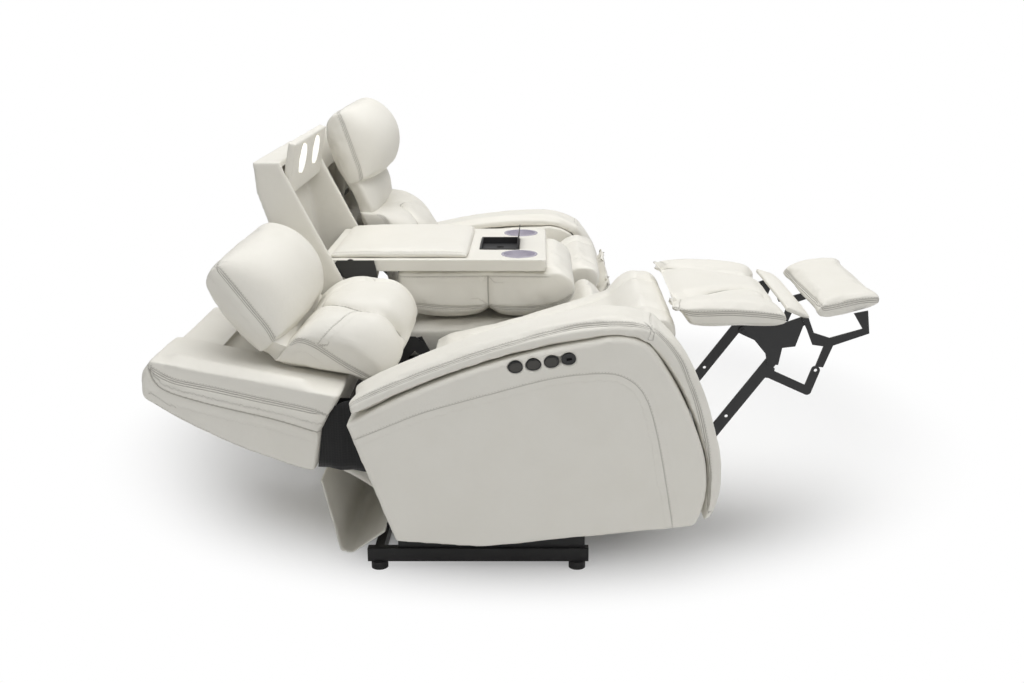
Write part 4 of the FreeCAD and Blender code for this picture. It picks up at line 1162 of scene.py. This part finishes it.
@dataclass(frozen=True)
class Viewpoint:
    """The photograph's camera, level across and pitched down at the sofa's side."""

    sensor: float = 36.0
    away: float = -3.758
    height: float = 1.4486
    pitch: float = 16.0
    lens: float = 42.36
    shift: float = -0.0264

    def build(self, centre_y: float) -> bpy.types.Object:
        """Makes the camera.

        Args:
            centre_y: the seats' own middle plane.

        Returns:
            The camera.
        """
        data = bpy.data.cameras.new("photo_view")
        data.sensor_width = self.sensor
        data.lens = self.lens
        data.shift_x = self.shift
        camera = bpy.data.objects.new("photo_view", data)
        bpy.context.scene.collection.objects.link(camera)
        camera.location = (self.away, centre_y, self.height)
        camera.rotation_euler = (math.radians(90.0 - self.pitch), 0.0, math.radians(-90.0))
        bpy.context.scene.camera = camera
        return camera


@dataclass(frozen=True)
class Lamp:
    """One soft lamp: where it stands, what it faces, its width and height, and its watts."""

    name: str
    spot: Point
    aim: Point
    size: tuple[float, float]
    power: float

    def build(self) -> None:
        """Makes the lamp."""
        data = bpy.data.lights.new(self.name, "AREA")
        data.shape = "RECTANGLE"
        data.size, data.size_y = self.size
        data.energy = self.power
        lamp = bpy.data.objects.new(self.name, data)
        bpy.context.scene.collection.objects.link(lamp)
        lamp.location = self.spot
        towards = Vector(self.aim) - Vector(self.spot)
        lamp.rotation_euler = towards.to_track_quat("-Z", "Y").to_euler()


LAMPS = (
    Lamp("top_light", (0.2, -0.2, 4.2), (0.0, 0.0, 0.0), (4.5, 4.0), 142.0),
    Lamp("fill_light", (-5.5, -1.5, 2.6), (0.0, 0.0, 0.4), (3.5, 2.5), 24.0),
)


@dataclass(frozen=True)
class Studio:
    """A white floor and soft light from above, with a weaker fill from the camera's side.

    The floor shows its shadow inside an ellipse about shadow_centre, whose size shadow_reach and
    shadow_ring set, and is plain white to the camera beyond it.
    """

    floor_size: float = 60.0
    floor_colour: Point = (0.92, 0.92, 0.92)
    world_level: float = 0.40
    shadow_centre: Point = (0.30, -0.05, 0.0)
    shadow_reach: Point = (0.82, 0.78, 0.0)
    shadow_ring: tuple[float, float] = (0.80, 1.18)

    def build(self) -> None:
        """Makes the floor, the world and the lamps."""
        self.floor()
        self.world()
        for lamp in LAMPS:
            lamp.build()
        bpy.context.scene.view_settings.view_transform = "Standard"

    def floor(self) -> None:
        """Makes the floor, white to the camera and keeping the shadow."""
        only_none()
        bpy.ops.mesh.primitive_plane_add(size=self.floor_size, location=(0.0, 0.0, 0.0))
        floor = bpy.context.active_object
        floor.name = "studio_floor"
        shade = Shade("studio_floor")
        shade.set(Base_Color=(*self.floor_colour, 1.0), Roughness=0.9, Specular_IOR_Level=0.1)
        place = shade.node("ShaderNodeTexCoord", out="Object")
        offset = shade.node("ShaderNodeVectorMath", {"operation": "SUBTRACT"}, place,
                            self.shadow_centre)
        scaled = shade.node("ShaderNodeVectorMath", {"operation": "MULTIPLY"}, offset,
                            self.shadow_reach)
        far = shade.node("ShaderNodeVectorMath", {"operation": "LENGTH"}, scaled, out="Value")
        camera = shade.node("ShaderNodeLightPath", out="Is Camera Ray")
        white = shade.node("ShaderNodeEmission", Color=(1.0, 1.0, 1.0, 1.0), Strength=1.0)
        plain = Sock(shade, shade.shader.outputs[0])
        beyond = far.fade(*self.shadow_ring, 0.0, 1.0) * camera
        mixed = shade.node("ShaderNodeMixShader", None, beyond, plain, white)
        shade.tree.links.new(mixed.socket, shade.output.inputs[0])
        floor.data.materials.append(shade.material)

    def world(self) -> None:
        """Makes a plain world that the camera sees as white."""
        world = bpy.data.worlds.new("studio")
        bpy.context.scene.world = world
        world.use_nodes = True
        tree = world.node_tree
        tree.nodes.clear()
        ray = tree.nodes.new("ShaderNodeLightPath")
        back = tree.nodes.new("ShaderNodeBackground")
        output = tree.nodes.new("ShaderNodeOutputWorld")
        level = tree.nodes.new("ShaderNodeMapRange")
        tree.links.new(ray.outputs["Is Camera Ray"], level.inputs["Value"])
        level.inputs["To Min"].default_value = self.world_level
        level.inputs["To Max"].default_value = 1.0
        back.inputs["Color"].default_value = (1.0, 1.0, 1.0, 1.0)
        tree.links.new(level.outputs[0], back.inputs["Strength"])
        tree.links.new(back.outputs[0], output.inputs[0])


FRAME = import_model()


def main() -> None:
    """Builds the dressed sofa."""
    logging.basicConfig(level=logging.INFO, format="%(name)s: %(message)s")
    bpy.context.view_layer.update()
    place = SeatPlace(FRAME)
    finishes = Finishes(FRAME)
    seats = EndSeats(place, finishes)
    middle = MiddlePlace(place, finishes)
    pads = seats.cut() + middle.cut()
    LOG.info("covers cut")
    Filling(pads).run()
    seats.dress()
    middle.dress()
    Webs(place, finishes).build()
    Viewpoint().build(place.centre.y)
    Studio().build()


if __name__ == "__main__":
    main()
